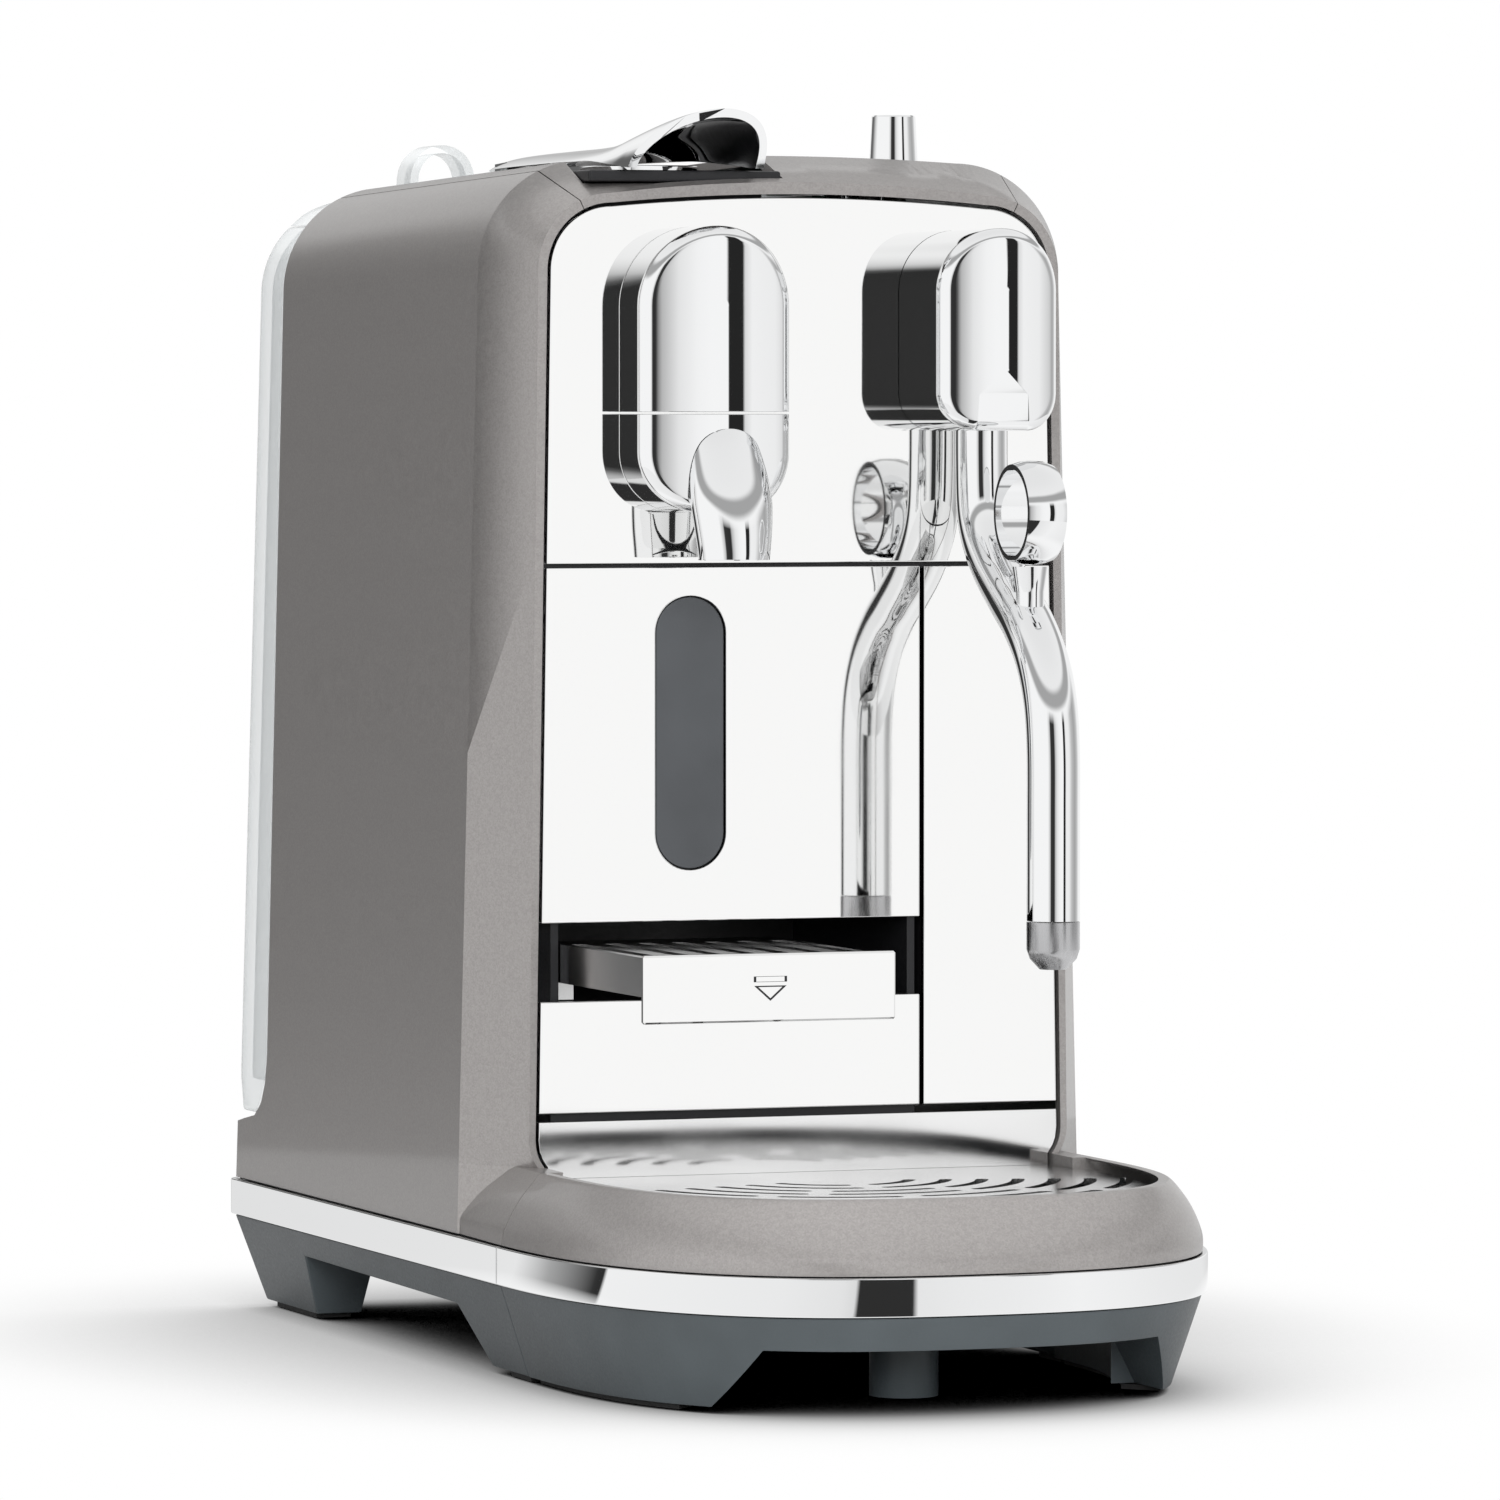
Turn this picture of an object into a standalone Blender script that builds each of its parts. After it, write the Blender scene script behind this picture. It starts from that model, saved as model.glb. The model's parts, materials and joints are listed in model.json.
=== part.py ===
"""Pod coffee machine with a steam wand, as an assembly of separate pieces.

Units are metres, +Z is up, -Y is the front, +X is to the right as seen from the front.
The origin is on the surface that the machine stands on, under the middle of its base.
"""
import math

import bmesh
import bpy
from mathutils import Vector

MM = 0.001

# ---- driving dimensions -------------------------------------------------------------------------
WIDTH = 171.0 * MM              # over the chrome band
DEPTH = 343.0 * MM              # over the chrome band, front to rear
MIDDLE_Y = 1.5 * MM             # middle of the base, in the frame that the pieces are drawn in
CLEAR = 0.3 * MM                # gap between pieces that touch
WALL = 2.2 * MM                 # moulded walls

HALF_W = WIDTH / 2
REAR_Y = DEPTH / 2 + MIDDLE_Y
FRONT_NOSE = 115.4 * MM         # how far the round front reaches ahead of the drawer's joint
SEAM_Y = MIDDLE_Y - DEPTH / 2 + FRONT_NOSE  # joint between body base and drip drawer
NOSE_POWER = 2.6                # exponent of the round front's outline
REAR_CORNER = 4.0 * MM          # plan radius of the base's rear corners

# heights of the base, from the ground up
PAD_H = 1.2 * MM                # rubber pads under the feet
FOOT_Z = PAD_H + CLEAR          # underside of the feet
ARCH_Z = 16.2 * MM              # top of the gap under the base
BAND_Z0 = 24.6 * MM             # chrome band, lower edge
BAND_Z1 = 34.1 * MM             # chrome band, upper edge
BAND_T = 2.1 * MM               # chrome band, thickness
BODY_Z0 = BAND_Z1 + CLEAR       # underside of the painted shells
GROUND_INSET = 8.5 * MM         # how far the feet lean in at the ground
BASE_INSET = 1.2 * MM           # base, just under the band
PLINTH_INSET = BAND_T + CLEAR   # the part of the base that the band wraps

# tombstone outline of the body, seen from the front; each side line is x = base - slope * z
CORNER_X = HALF_W - 35.45 * MM           # centre of the round upper corners
CORNER_Z = 275.3 * MM
SHELL_X = HALF_W - 0.8 * MM     # outer skin at the ground
CREASE = (SHELL_X, 0.0240, 1.5 * MM)        # outer skin: base, slope, crown of the top
CREASE_IN = (SHELL_X - WALL, 0.0240, 1.5 * MM)
STRIP = (HALF_W - 12.7 * MM, 0.0120, 3.0 * MM)       # outer edge of the flat front strip
GAP = (HALF_W - 14.2 * MM, 0.0153, 2.4 * MM)         # inner edge of the front strip
MIRROR = (HALF_W - 15.1 * MM, 0.0153, 2.4 * MM)      # edge of the polished front panels
FRONT_Y = SEAM_Y + 14.5 * MM    # face of the polished front panels
STRIP_Y = FRONT_Y - 0.4 * MM    # face of the front strip
CREASE_Y = FRONT_Y + 21.1 * MM  # where the chamfer ends and the side begins
SHELL_REAR_Y = REAR_Y - 27.2 * MM   # rear edge of the painted shells
TOP_SLOPE = 0.022               # fall of the top towards the rear
SEAM_ANGLE = 63.9               # degrees round the corner where side shell and top cover meet
PANEL_T = 2.0 * MM              # polished panels

# joints of the front panels
LOW_JOINT_Z = 64.0 * MM         # drawer's back wall below, panels above
SLOT_Z0 = 93.4 * MM             # cup support slot
SLOT_Z1 = 113.0 * MM
MID_JOINT_Z = 201.9 * MM        # upper panel above, lower panels below
JOINT_GAP = 1.0 * MM            # width of the dark joints
COLUMN_X = 32.7 * MM            # vertical joint between drawer column and right panel

# drip drawer
RIM_Z = 52.0 * MM               # top rim of the painted skirt
SKIRT_LEVELS = [                # height, inset and outline exponent of the painted skirt, in mm
    (34.4, 1.2, 2.6), (38.0, 2.0, 2.7), (42.0, 3.9, 2.8), (46.0, 6.4, 2.9), (49.5, 9.3, 3.0),
    (51.3, 10.8, 3.0), (52.0, 11.7, 3.0)]
GRID_Z = 49.2 * MM              # top face of the drip grid
DRAWER_BACK_Y = FRONT_Y + 87.1 * MM       # rear end of the drawer's inner frame
DRAWER_TRAVEL = 120.0 * MM
DRAWER_X0 = 20.0 * MM - HALF_W          # left cheek of the drawer's inner frame

# heads, wand and lever
BREW_X = -28.0 * MM
BREW_HALF = 20.0 * MM
BREW_TOP_Z = 286.5 * MM
BREW_SEAM_Z = 240.0 * MM
BREW_BOTTOM_Z = 215.3 * MM
BREW_DEPTH = 12.5 * MM          # straight side of the brew head
BREW_BULGE = 7.0 * MM           # crowned front of the brew head
STEAM_X = 42.4 * MM
STEAM_HALF = 16.0 * MM
STEAM_TOP_Z = 286.0 * MM
STEAM_BOTTOM_Z = 235.5 * MM
STEAM_DEPTH = 25.5 * MM
STEAM_BULGE = 6.5 * MM
TUBE_R = 6.6 * MM               # steam tube
WAND_Y = FRONT_Y - 16.2 * MM    # wand pivot
WAND_Z = 240.0 * MM
WAND_OUT_Y = FRONT_Y - 65.0 * MM    # the tube's lower, vertical run
WAND_TIP_Z = 103.0 * MM
RING_Y = FRONT_Y - 49.5 * MM
RING_Z = 215.3 * MM
RING_R = 13.0 * MM
RING_HOLE_R = 10.8 * MM
RING_W = 10.0 * MM
LEVER_X = -29.4 * MM
LEVER_PIVOT = (LEVER_X, FRONT_Y + 130.1 * MM, 296.5 * MM)
KNOB_X = 42.6 * MM
KNOB_Y = FRONT_Y + 46.1 * MM

# water tank
TANK_HALF_IN = HALF_W - 31.5 * MM        # half width of the part that sits between the shells
TANK_FRONT_Y = REAR_Y - 61.0 * MM
TANK_REAR_Y = REAR_Y - 3.6 * MM  # rear of the tank at its top
TANK_LEAN = 0.016               # how the tank's rear wall leans out towards its foot
TANK_SPLIT_Z = 289.5 * MM       # tank below, lid above
TANK_OUTLINE = (SHELL_X - 0.6 * MM, 0.0240)
TANK_CORNER = (HALF_W - 32.5 * MM, 271.5 * MM, 24.6 * MM)    # centre x, centre z, radius
TANK_WALL = 2.4 * MM
SKIRT_REAR_Z = 50.6 * MM        # the painted shells reach to the rear below this

# cup support
SUPPORT_X0 = DRAWER_X0 - 0.5 * MM
SUPPORT_X1 = -0.6 * MM
SUPPORT_OUT = 69.0 * MM         # how far the plate stands ahead of the front panel
PLATE_Z0 = 91.9 * MM
PLATE_Z1 = 108.6 * MM
DECK_Z1 = 107.6 * MM

# ---- empty the scene ----------------------------------------------------------------------------
for old in list(bpy.data.objects):
    bpy.data.objects.remove(old, do_unlink=True)

SCENE = bpy.context.scene


# ---- materials ----------------------------------------------------------------------------------
def make_material(name, rgb, roughness, metallic=0.0, transmission=0.0):
    mat = bpy.data.materials.new(name)
    mat.use_nodes = True
    shader = mat.node_tree.nodes["Principled BSDF"]
    shader.inputs["Base Color"].default_value = (*rgb, 1.0)
    shader.inputs["Roughness"].default_value = roughness
    shader.inputs["Metallic"].default_value = metallic
    shader.inputs["Transmission Weight"].default_value = transmission
    mat.diffuse_color = (*rgb, 1.0)
    return mat


PAINT = make_material("paint", (0.25, 0.235, 0.225), 0.35, 0.6)
POLISHED = make_material("polished_steel", (0.8, 0.8, 0.8), 0.06, 1.0)
CHROME = make_material("chrome", (0.85, 0.85, 0.86), 0.05, 1.0)
SLATE = make_material("slate_plastic", (0.05, 0.062, 0.068), 0.45)
BLACK = make_material("black_plastic", (0.012, 0.012, 0.014), 0.5)
CHARCOAL = make_material("charcoal_plastic", (0.045, 0.05, 0.055), 0.4)
RUBBER = make_material("rubber", (0.02, 0.02, 0.02), 0.8)
CLEAR_PLASTIC = make_material("clear_plastic", (0.95, 0.97, 0.97), 0.05, 0.0, 1.0)
GLASS = make_material("display_glass", (0.01, 0.01, 0.012), 0.08)
BRASS = make_material("brass", (0.72, 0.5, 0.22), 0.3, 1.0)
ALLOY = make_material("cast_alloy", (0.55, 0.55, 0.56), 0.45, 1.0)
BOARD = make_material("circuit_board", (0.03, 0.18, 0.08), 0.5)
STEEL = make_material("steel", (0.55, 0.55, 0.56), 0.3, 1.0)


# ---- modelling helpers --------------------------------------------------------------------------
def finish_mesh(name, bm, mat, smooth_deg=None):
    """Turn a bmesh into a named object with outward faces."""
    bmesh.ops.recalc_face_normals(bm, faces=bm.faces)
    mesh = bpy.data.meshes.new(name)
    bm.to_mesh(mesh)
    bm.free()
    mesh.materials.append(mat)
    if smooth_deg is not None:
        mesh.shade_smooth()
        mesh.set_sharp_from_angle(angle=math.radians(smooth_deg))
    obj = bpy.data.objects.new(name, mesh)
    SCENE.collection.objects.link(obj)
    return obj


def loft(name, rings, mat, smooth_deg=35):
    """Skin closed rings of equal length, with a cap on each end."""
    bm = bmesh.new()
    loops = [[bm.verts.new(p) for p in ring] for ring in rings]
    for lower, upper in zip(loops, loops[1:]):
        count = len(lower)
        for i in range(count):
            j = (i + 1) % count
            bm.faces.new((lower[i], lower[j], upper[j], upper[i]))
    bm.faces.new(list(reversed(loops[0])))
    bm.faces.new(loops[-1])
    return finish_mesh(name, bm, mat, smooth_deg)


def prism(name, outline, low, high, mat, along="Z", smooth_deg=35):
    """Extrude a plane outline along one axis, between two levels."""
    place = {
        "X": lambda a, b, h: (h, a, b),
        "Y": lambda a, b, h: (a, h, b),
        "Z": lambda a, b, h: (a, b, h),
    }[along]
    bm = bmesh.new()
    face = bm.faces.new([bm.verts.new(place(a, b, low)) for a, b in outline])
    grown = bmesh.ops.extrude_face_region(bm, geom=[face])
    moved = [g for g in grown["geom"] if isinstance(g, bmesh.types.BMVert)]
    bmesh.ops.translate(bm, verts=moved, vec=Vector(place(0.0, 0.0, high - low)))
    return finish_mesh(name, bm, mat, smooth_deg)


def block(name, low, high, mat, bevel=0.0, segments=2):
    """A box between two corners, with its edges rounded if asked."""
    outline = [(low[0], low[1]), (high[0], low[1]), (high[0], high[1]), (low[0], high[1])]
    obj = prism(name, outline, low[2], high[2], mat)
    if bevel:
        soften(obj, bevel, segments)
    return obj


def soften(obj, width, segments=2, angle=40):
    mod = obj.modifiers.new("edges", "BEVEL")
    mod.width = width
    mod.segments = segments
    mod.limit_method = "ANGLE"
    mod.angle_limit = math.radians(angle)
    return mod


def turned(name, profile, centre, mat, along="Z", steps=32, smooth_deg=35):
    """Spin an outline of (radius, height) points round an axis through centre."""
    axis = {"X": Vector((1, 0, 0)), "Y": Vector((0, 1, 0)), "Z": Vector((0, 0, 1))}[along]
    side = {"X": Vector((0, 1, 0)), "Y": Vector((0, 0, 1)), "Z": Vector((1, 0, 0))}[along]
    origin = Vector(centre)
    bm = bmesh.new()
    verts = [bm.verts.new(origin + side * r + axis * h) for r, h in profile]
    edges = [bm.edges.new((a, b)) for a, b in zip(verts, verts[1:])]
    if profile[0][0] > 0 or profile[-1][0] > 0:
        edges.append(bm.edges.new((verts[-1], verts[0])))
    bmesh.ops.spin(bm, geom=verts + edges, cent=origin, axis=axis, angle=2 * math.pi,
                   steps=steps, use_merge=True)
    bmesh.ops.remove_doubles(bm, verts=bm.verts, dist=1e-6)
    return finish_mesh(name, bm, mat, smooth_deg)


def cylinder(name, radius, low, high, centre, mat, along="Z", steps=24, edge=0.0):
    """A plain round bar, with its end edges broken if asked."""
    profile = [(0.0, low), (radius - edge, low)]
    if edge:
        profile += [(radius, low + edge), (radius, high - edge)]
    else:
        profile += [(radius, high)]
    profile += [(radius - edge, high), (0.0, high)] if edge else [(0.0, high)]
    return turned(name, profile, centre, mat, along, steps)


def as_cutter(obj):
    obj.hide_render = True
    obj.display_type = "WIRE"
    return obj


def combine(obj, other, operation):
    """Leave an exact Boolean with another object on this one."""
    mod = obj.modifiers.new(operation.lower(), "BOOLEAN")
    mod.operation = operation
    mod.solver = "EXACT"
    mod.object = as_cutter(other)


def cut(obj, *cutters):
    for cutter in cutters:
        combine(obj, cutter, "DIFFERENCE")
    return obj


def join(obj, *others):
    for other in others:
        combine(obj, other, "UNION")
    return obj


def arc(cx, cy, radius, start_deg, end_deg, steps):
    """Points of an arc in a plane, both ends included."""
    points = []
    for i in range(steps + 1):
        t = math.radians(start_deg + (end_deg - start_deg) * i / steps)
        points.append((cx + radius * math.cos(t), cy + radius * math.sin(t)))
    return points


def rounded_rect(x0, x1, y0, y1, radius, steps=4):
    return (arc(x1 - radius, y0 + radius, radius, -90, 0, steps)
            + arc(x1 - radius, y1 - radius, radius, 0, 90, steps)
            + arc(x0 + radius, y1 - radius, radius, 90, 180, steps)
            + arc(x0 + radius, y0 + radius, radius, 180, 270, steps))


def pill(cx, half, low, high, steps=8):
    """An upright slot outline with full round ends."""
    return arc(cx, high - half, half, 0, 180, steps) + arc(cx, low + half, half, 180, 360, steps)


def tube(name, points, radius, mat, sides=3):
    """A round rod along a smooth run of points."""
    curve = bpy.data.curves.new(name, "CURVE")
    curve.dimensions = "3D"
    curve.bevel_depth = radius
    curve.bevel_resolution = sides
    curve.use_fill_caps = True
    spline = curve.splines.new("POLY")
    spline.points.add(len(points) - 1)
    for target, point in zip(spline.points, points):
        target.co = (*point, 1.0)
    curve.materials.append(mat)
    draft = bpy.data.objects.new(name + "_run", curve)
    SCENE.collection.objects.link(draft)
    bpy.context.view_layer.update()
    mesh = bpy.data.meshes.new_from_object(draft)
    bpy.data.objects.remove(draft, do_unlink=True)
    bm = bmesh.new()
    bm.from_mesh(mesh)
    bmesh.ops.remove_doubles(bm, verts=bm.verts, dist=1e-6)
    return finish_mesh(name, bm, mat, 40)


def smooth_run(points, steps):
    """Points read from a Catmull-Rom curve through the given ones."""
    ends = [points[0]] + list(points) + [points[-1]]
    out = []
    for a, b, c, d in zip(ends, ends[1:], ends[2:], ends[3:]):
        for i in range(steps):
            t = i / steps
            out.append(tuple(
                0.5 * (2 * q + (r - p) * t + (2 * p - 5 * q + 4 * r - s) * t * t
                       + (3 * q - p - 3 * r + s) * t ** 3)
                for p, q, r, s in zip(a, b, c, d)))
    return out + [tuple(points[-1])]


def body_empty(name, place):
    """The parent of a moving body's pieces, on the joint's axis."""
    empty = bpy.data.objects.new(name, None)
    empty.location = place
    SCENE.collection.objects.link(empty)
    return empty


def carry(empty, *pieces):
    """Parent pieces that were made in place to an empty."""
    for piece in pieces:
        piece.parent = empty
        piece.location = -empty.location


# ---- outlines -----------------------------------------------------------------------------------
def nose(inset, steps=28, gap=0.0, power=NOSE_POWER):
    """The round front of the base in plan, from the right joint to the left one."""
    a = HALF_W - inset
    b = FRONT_NOSE - inset - gap
    points = []
    for i in range(steps + 1):
        t = math.pi * i / steps
        c, s = math.cos(t), math.sin(t)
        x = math.copysign(abs(c) ** (2 / power), c) * a
        points.append((x, SEAM_Y - gap - b * abs(s) ** (2 / power)))
    return points


def stern(inset, front_y=SEAM_Y):
    """The rear part of the base in plan, from its right front corner round the back."""
    a = HALF_W - inset
    rear = REAR_Y - inset
    r = max(REAR_CORNER - inset, 0.5 * MM)
    return ([(a, front_y)] + arc(a - r, rear - r, r, 0, 90, 3)
            + arc(-a + r, rear - r, r, 90, 180, 3) + [(-a, front_y)])


def side_x(line, z):
    return line[0] - line[1] * z


def radial(line, degrees):
    """A point of a tombstone outline, round its right upper corner."""
    r = side_x(line, CORNER_Z) - CORNER_X
    t = math.radians(degrees)
    return CORNER_X + r * math.cos(t), CORNER_Z + r * math.sin(t)


def crown(line, x):
    """Height of a tombstone outline's top at x, between its corners."""
    r = side_x(line, CORNER_Z) - CORNER_X
    return CORNER_Z + r + line[2] * (1 - (x / CORNER_X) ** 2)


def tombstone(line, low, corner_steps=6, crown_steps=6):
    """A whole tombstone outline in (x, z), from its lower right corner."""
    right = [(side_x(line, low), low)]
    right += [radial(line, 90 * i / corner_steps) for i in range(corner_steps + 1)]
    top = [CORNER_X * (1 - 2 * i / crown_steps) for i in range(1, crown_steps)]
    return (right + [(x, crown(line, x)) for x in top]
            + [(-x, z) for x, z in reversed(right)])


def settle(x, y, z):
    """Let the upper body fall gently towards the rear."""
    share = min(max((z - 200 * MM) / (75 * MM), 0.0), 1.0)
    return x, y, z - TOP_SLOPE * max(y - CREASE_Y, 0.0) * share


def skirt_at(z, column):
    """Inset in metres or outline exponent of the skirt at a height."""
    levels = SKIRT_LEVELS
    level = min(max(z / MM, levels[0][0]), levels[-1][0])
    for low, high in zip(levels, levels[1:]):
        if level <= high[0]:
            share = (level - low[0]) / (high[0] - low[0])
            return low[column] + (high[column] - low[column]) * share
    return levels[-1][column]


def skirt_inset(z):
    return skirt_at(z, 1) * MM


def skirt_x(z):
    """Half width of the painted skirt's straight flank at a height."""
    return HALF_W - skirt_inset(z)


def corner_in(z):
    """How far the strip beside the tray's wall bends inwards near the rim."""
    drop = min(max(TURN_Z - z, 0.0), TURN_Z - RIM_Z)
    return TURN_R - math.sqrt(TURN_R ** 2 - drop ** 2)


TURN_Z = 59.0 * MM
TURN_R = 11.0 * MM


# ---- base of the body ---------------------------------------------------------------------------
def make_chassis():
    """Dark base under the body: a plinth on four corner feet, arched between them."""
    rings = [
        [(x, y, FOOT_Z) for x, y in stern(GROUND_INSET)],
        [(x, y, BAND_Z0 - CLEAR) for x, y in stern(BASE_INSET)],
    ]
    chassis = loft("base_chassis", rings, SLATE)
    join(chassis, prism("add_plinth", stern(PLINTH_INSET), BAND_Z0 - 2 * MM, BAND_Z1, SLATE))
    arch = [(SEAM_Y + 21.6 * MM, -5 * MM), (SEAM_Y + 42.6 * MM, ARCH_Z),
            (REAR_Y - 59 * MM, ARCH_Z + 1.2 * MM), (REAR_Y - 50.5 * MM, -5 * MM)]
    side_arch = prism("cut_side_arch", arch, -WIDTH, WIDTH, SLATE, along="X")
    low_x, high_x = HALF_W - 20 * MM, HALF_W - 23 * MM
    under = [(-low_x, -5 * MM), (low_x, -5 * MM), (high_x, ARCH_Z), (-high_x, ARCH_Z)]
    tunnel = prism("cut_under_base", under, -WIDTH, DEPTH, SLATE, along="Y")
    return cut(chassis, side_arch, tunnel)


def make_foot_pads():
    """Thin rubber pads under the four feet of the body's base."""
    pads = []
    for end, y0, y1 in (("front", SEAM_Y + 2.6 * MM, SEAM_Y + 17.6 * MM),
                        ("rear", REAR_Y - 48 * MM, REAR_Y - 13 * MM)):
        for side, sign in (("left", -1), ("right", 1)):
            xs = sorted((sign * (HALF_W - 19.5 * MM), sign * (HALF_W - 10 * MM)))
            pads.append(block(f"foot_pad_{end}_{side}", (xs[0], y0, 0), (xs[1], y1, PAD_H), RUBBER))
    return pads


def make_body_band():
    outer, inner = stern(0.0), stern(BAND_T)
    return prism("body_band", outer + inner[::-1], BAND_Z0, BAND_Z1, CHROME)


# ---- painted shells -----------------------------------------------------------------------------
def rear_edge(z):
    """Rear end of the painted side at a height: it runs on to the rear below the tank."""
    drop = [(BODY_Z0, 1.6), (49.5 * MM, 2.0), (SKIRT_REAR_Z, 8.0), (RIM_Z, 17.0),
            (55.5 * MM, 22.5), (61.0 * MM, 25.8), (68.0 * MM, 27.2)]    # height, and inset from the rear in mm
    for (z0, in0), (z1, in1) in zip(drop, drop[1:]):
        if z <= z1:
            return REAR_Y - (in0 + (in1 - in0) * max(z - z0, 0.0) / (z1 - z0)) * MM
    return SHELL_REAR_Y


def flank_ring(z, front=None):
    """Plan section of the right shell at a height on its straight flank."""
    hw, back = side_x(CREASE, z), side_x(CREASE_IN, z)
    strip, inner = side_x(STRIP, z) - corner_in(z), side_x(GAP, z) - corner_in(z)
    if front is None:
        front = SEAM_Y if z <= RIM_Z else STRIP_Y
    flare = max(skirt_x(z), strip) if z <= RIM_Z else strip
    knee = min(max(flare, strip + 1.0 * MM), hw - 0.4 * MM)
    knee_y = STRIP_Y + (CREASE_Y - STRIP_Y) * (knee - strip) / (hw - strip)
    rear = rear_edge(z)
    return [
        (inner, FRONT_Y + 3 * MM, z), (inner, front, z), (flare, front, z), (knee, knee_y, z),
        (hw, CREASE_Y, z), (hw, rear - 1.2 * MM, z), (hw - 1.2 * MM, rear, z), (back, rear, z),
        (back, CREASE_Y + 1 * MM, z), (inner + 1.2 * MM, FRONT_Y + 3 * MM, z),
    ]


def swept_ring(point_on):
    """The shell's section where the outline turns: one point for each corner of the section."""
    gap, strip, outer, inner = (point_on(line) for line in (GAP, STRIP, CREASE, CREASE_IN))

    def between(a, b, share):
        return tuple(p + (q - p) * share for p, q in zip(a, b))

    knee = between(strip, outer, 0.1)
    knee_y = STRIP_Y + (CREASE_Y - STRIP_Y) * 0.1
    lap = between(gap, outer, 0.11)
    rim = between(outer, inner, 0.55)
    places = [
        (gap, FRONT_Y + 3 * MM), (gap, STRIP_Y), (strip, STRIP_Y), (knee, knee_y),
        (outer, CREASE_Y), (outer, SHELL_REAR_Y - 1.2 * MM), (rim, SHELL_REAR_Y),
        (inner, SHELL_REAR_Y), (inner, CREASE_Y + 1 * MM), (lap, FRONT_Y + 3 * MM),
    ]
    return [settle(x, y, z) for (x, z), y in places]


def make_side_shell(name, sign):
    """Painted side: front strip, chamfer, flank and the round upper corner, in one moulding."""
    low = [BODY_Z0, 38 * MM, 42 * MM, 46 * MM, 49.5 * MM, SKIRT_REAR_Z, RIM_Z]
    high = [RIM_Z + 0.05 * MM, 54 * MM, 56 * MM, 59 * MM, 61 * MM, 68 * MM, 200 * MM]
    rings = [flank_ring(z) for z in low + high]
    rings.append(swept_ring(lambda line: (side_x(line, 240 * MM), 240 * MM)))
    corner_steps = 6
    for i in range(corner_steps + 1):
        angle = SEAM_ANGLE * i / corner_steps
        rings.append(swept_ring(lambda line, a=angle: radial(line, a)))
    if sign < 0:
        rings = [[(-x, y, z) for x, y, z in ring] for ring in rings]
    return loft(name, rings, PAINT)


def make_top_cover():
    """Painted top between the two shells, with the lever's recess and the tank's opening."""
    start = SEAM_ANGLE + 0.7
    turns = [start, 72.0, 81.0, 90.0]
    steps = 8
    across = [CORNER_X * (1 - 2 * i / steps) for i in range(1, steps)]
    rings = [swept_ring(lambda line, a=angle: radial(line, a)) for angle in turns]
    rings += [swept_ring(lambda line, u=x: (u, crown(line, u))) for x in across]
    rings += [[(-x, y, z) for x, y, z in ring] for ring in reversed(rings[:len(turns)])]
    cover = loft("top_cover", rings, PAINT)
    slot = block("cut_slot_recess", (SLOT_X0 - CLEAR, SLOT_Y0 - CLEAR, 297.2 * MM),
                 (SLOT_X1 + CLEAR, SLOT_Y1 + CLEAR, 320 * MM), PAINT)
    neck = block("cut_slot_neck", (LEVER_X - 23.4 * MM, FRONT_Y + 9.7 * MM, 280 * MM),
                 (LEVER_X + 23.4 * MM, FRONT_Y + 70.5 * MM, 310 * MM), PAINT)
    hinge = block("cut_lever_recess", (LEVER_X - 15.3 * MM, LEVER_PIVOT[1] - 16 * MM, 270 * MM),
                  (LEVER_X + 15.3 * MM, TANK_FRONT_Y + 5 * MM, 320 * MM), PAINT)
    tank = block("cut_tank_opening", (-TANK_HALF_IN - 0.8 * MM, TANK_FRONT_Y - 0.8 * MM, 270 * MM),
                 (TANK_HALF_IN + 0.8 * MM, REAR_Y + 30 * MM, 320 * MM), PAINT)
    display = block("cut_display", (DISPLAY_X0 - CLEAR, DISPLAY_Y0 - CLEAR, 280 * MM),
                    (DISPLAY_X1 + CLEAR, DISPLAY_Y1 + CLEAR, 320 * MM), PAINT)
    holes = [cylinder(f"cut_{label}", radius, 280 * MM, 320 * MM, (KNOB_X, y, 0), PAINT)
             for label, y, radius in (("knob_hole", KNOB_Y, 4.0 * MM),
                                      ("start_hole", START_Y, BUTTON_R + CLEAR),
                                      ("power_hole", POWER_Y, BUTTON_R + CLEAR))]
    return cut(cover, slot, neck, hinge, tank, display, *holes)


SLOT_X0, SLOT_X1 = LEVER_X - 25.5 * MM, LEVER_X + 25.5 * MM     # capsule slot block
SLOT_Y0, SLOT_Y1 = FRONT_Y + 3.1 * MM, FRONT_Y + 74.1 * MM
DISPLAY_X0, DISPLAY_X1 = 3.0 * MM, 31.0 * MM
DISPLAY_Y0, DISPLAY_Y1 = FRONT_Y + 54.1 * MM, FRONT_Y + 92.1 * MM
BUTTON_R = 4.6 * MM
START_Y = KNOB_Y + 22.0 * MM
POWER_Y = KNOB_Y + 40.0 * MM


def make_rear_cover():
    """Painted lower rear wall, below the tank, with the mains inlet's hole."""
    half = side_x(CREASE_IN, BODY_Z0) - CLEAR
    wall = block("rear_lower_cover", (-half + 0.9 * MM, REAR_Y - 4.4 * MM, BODY_Z0),
                 (half - 0.9 * MM, REAR_Y - 2.0 * MM, 50.0 * MM), PAINT)
    hole = cylinder("cut_gland_hole", 5.3 * MM, -20 * MM, 20 * MM, (GLAND_X, REAR_Y, GLAND_Z), PAINT, "Y")
    return cut(wall, hole)


GLAND_X = 45.0 * MM
GLAND_Z = 42.0 * MM


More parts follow.
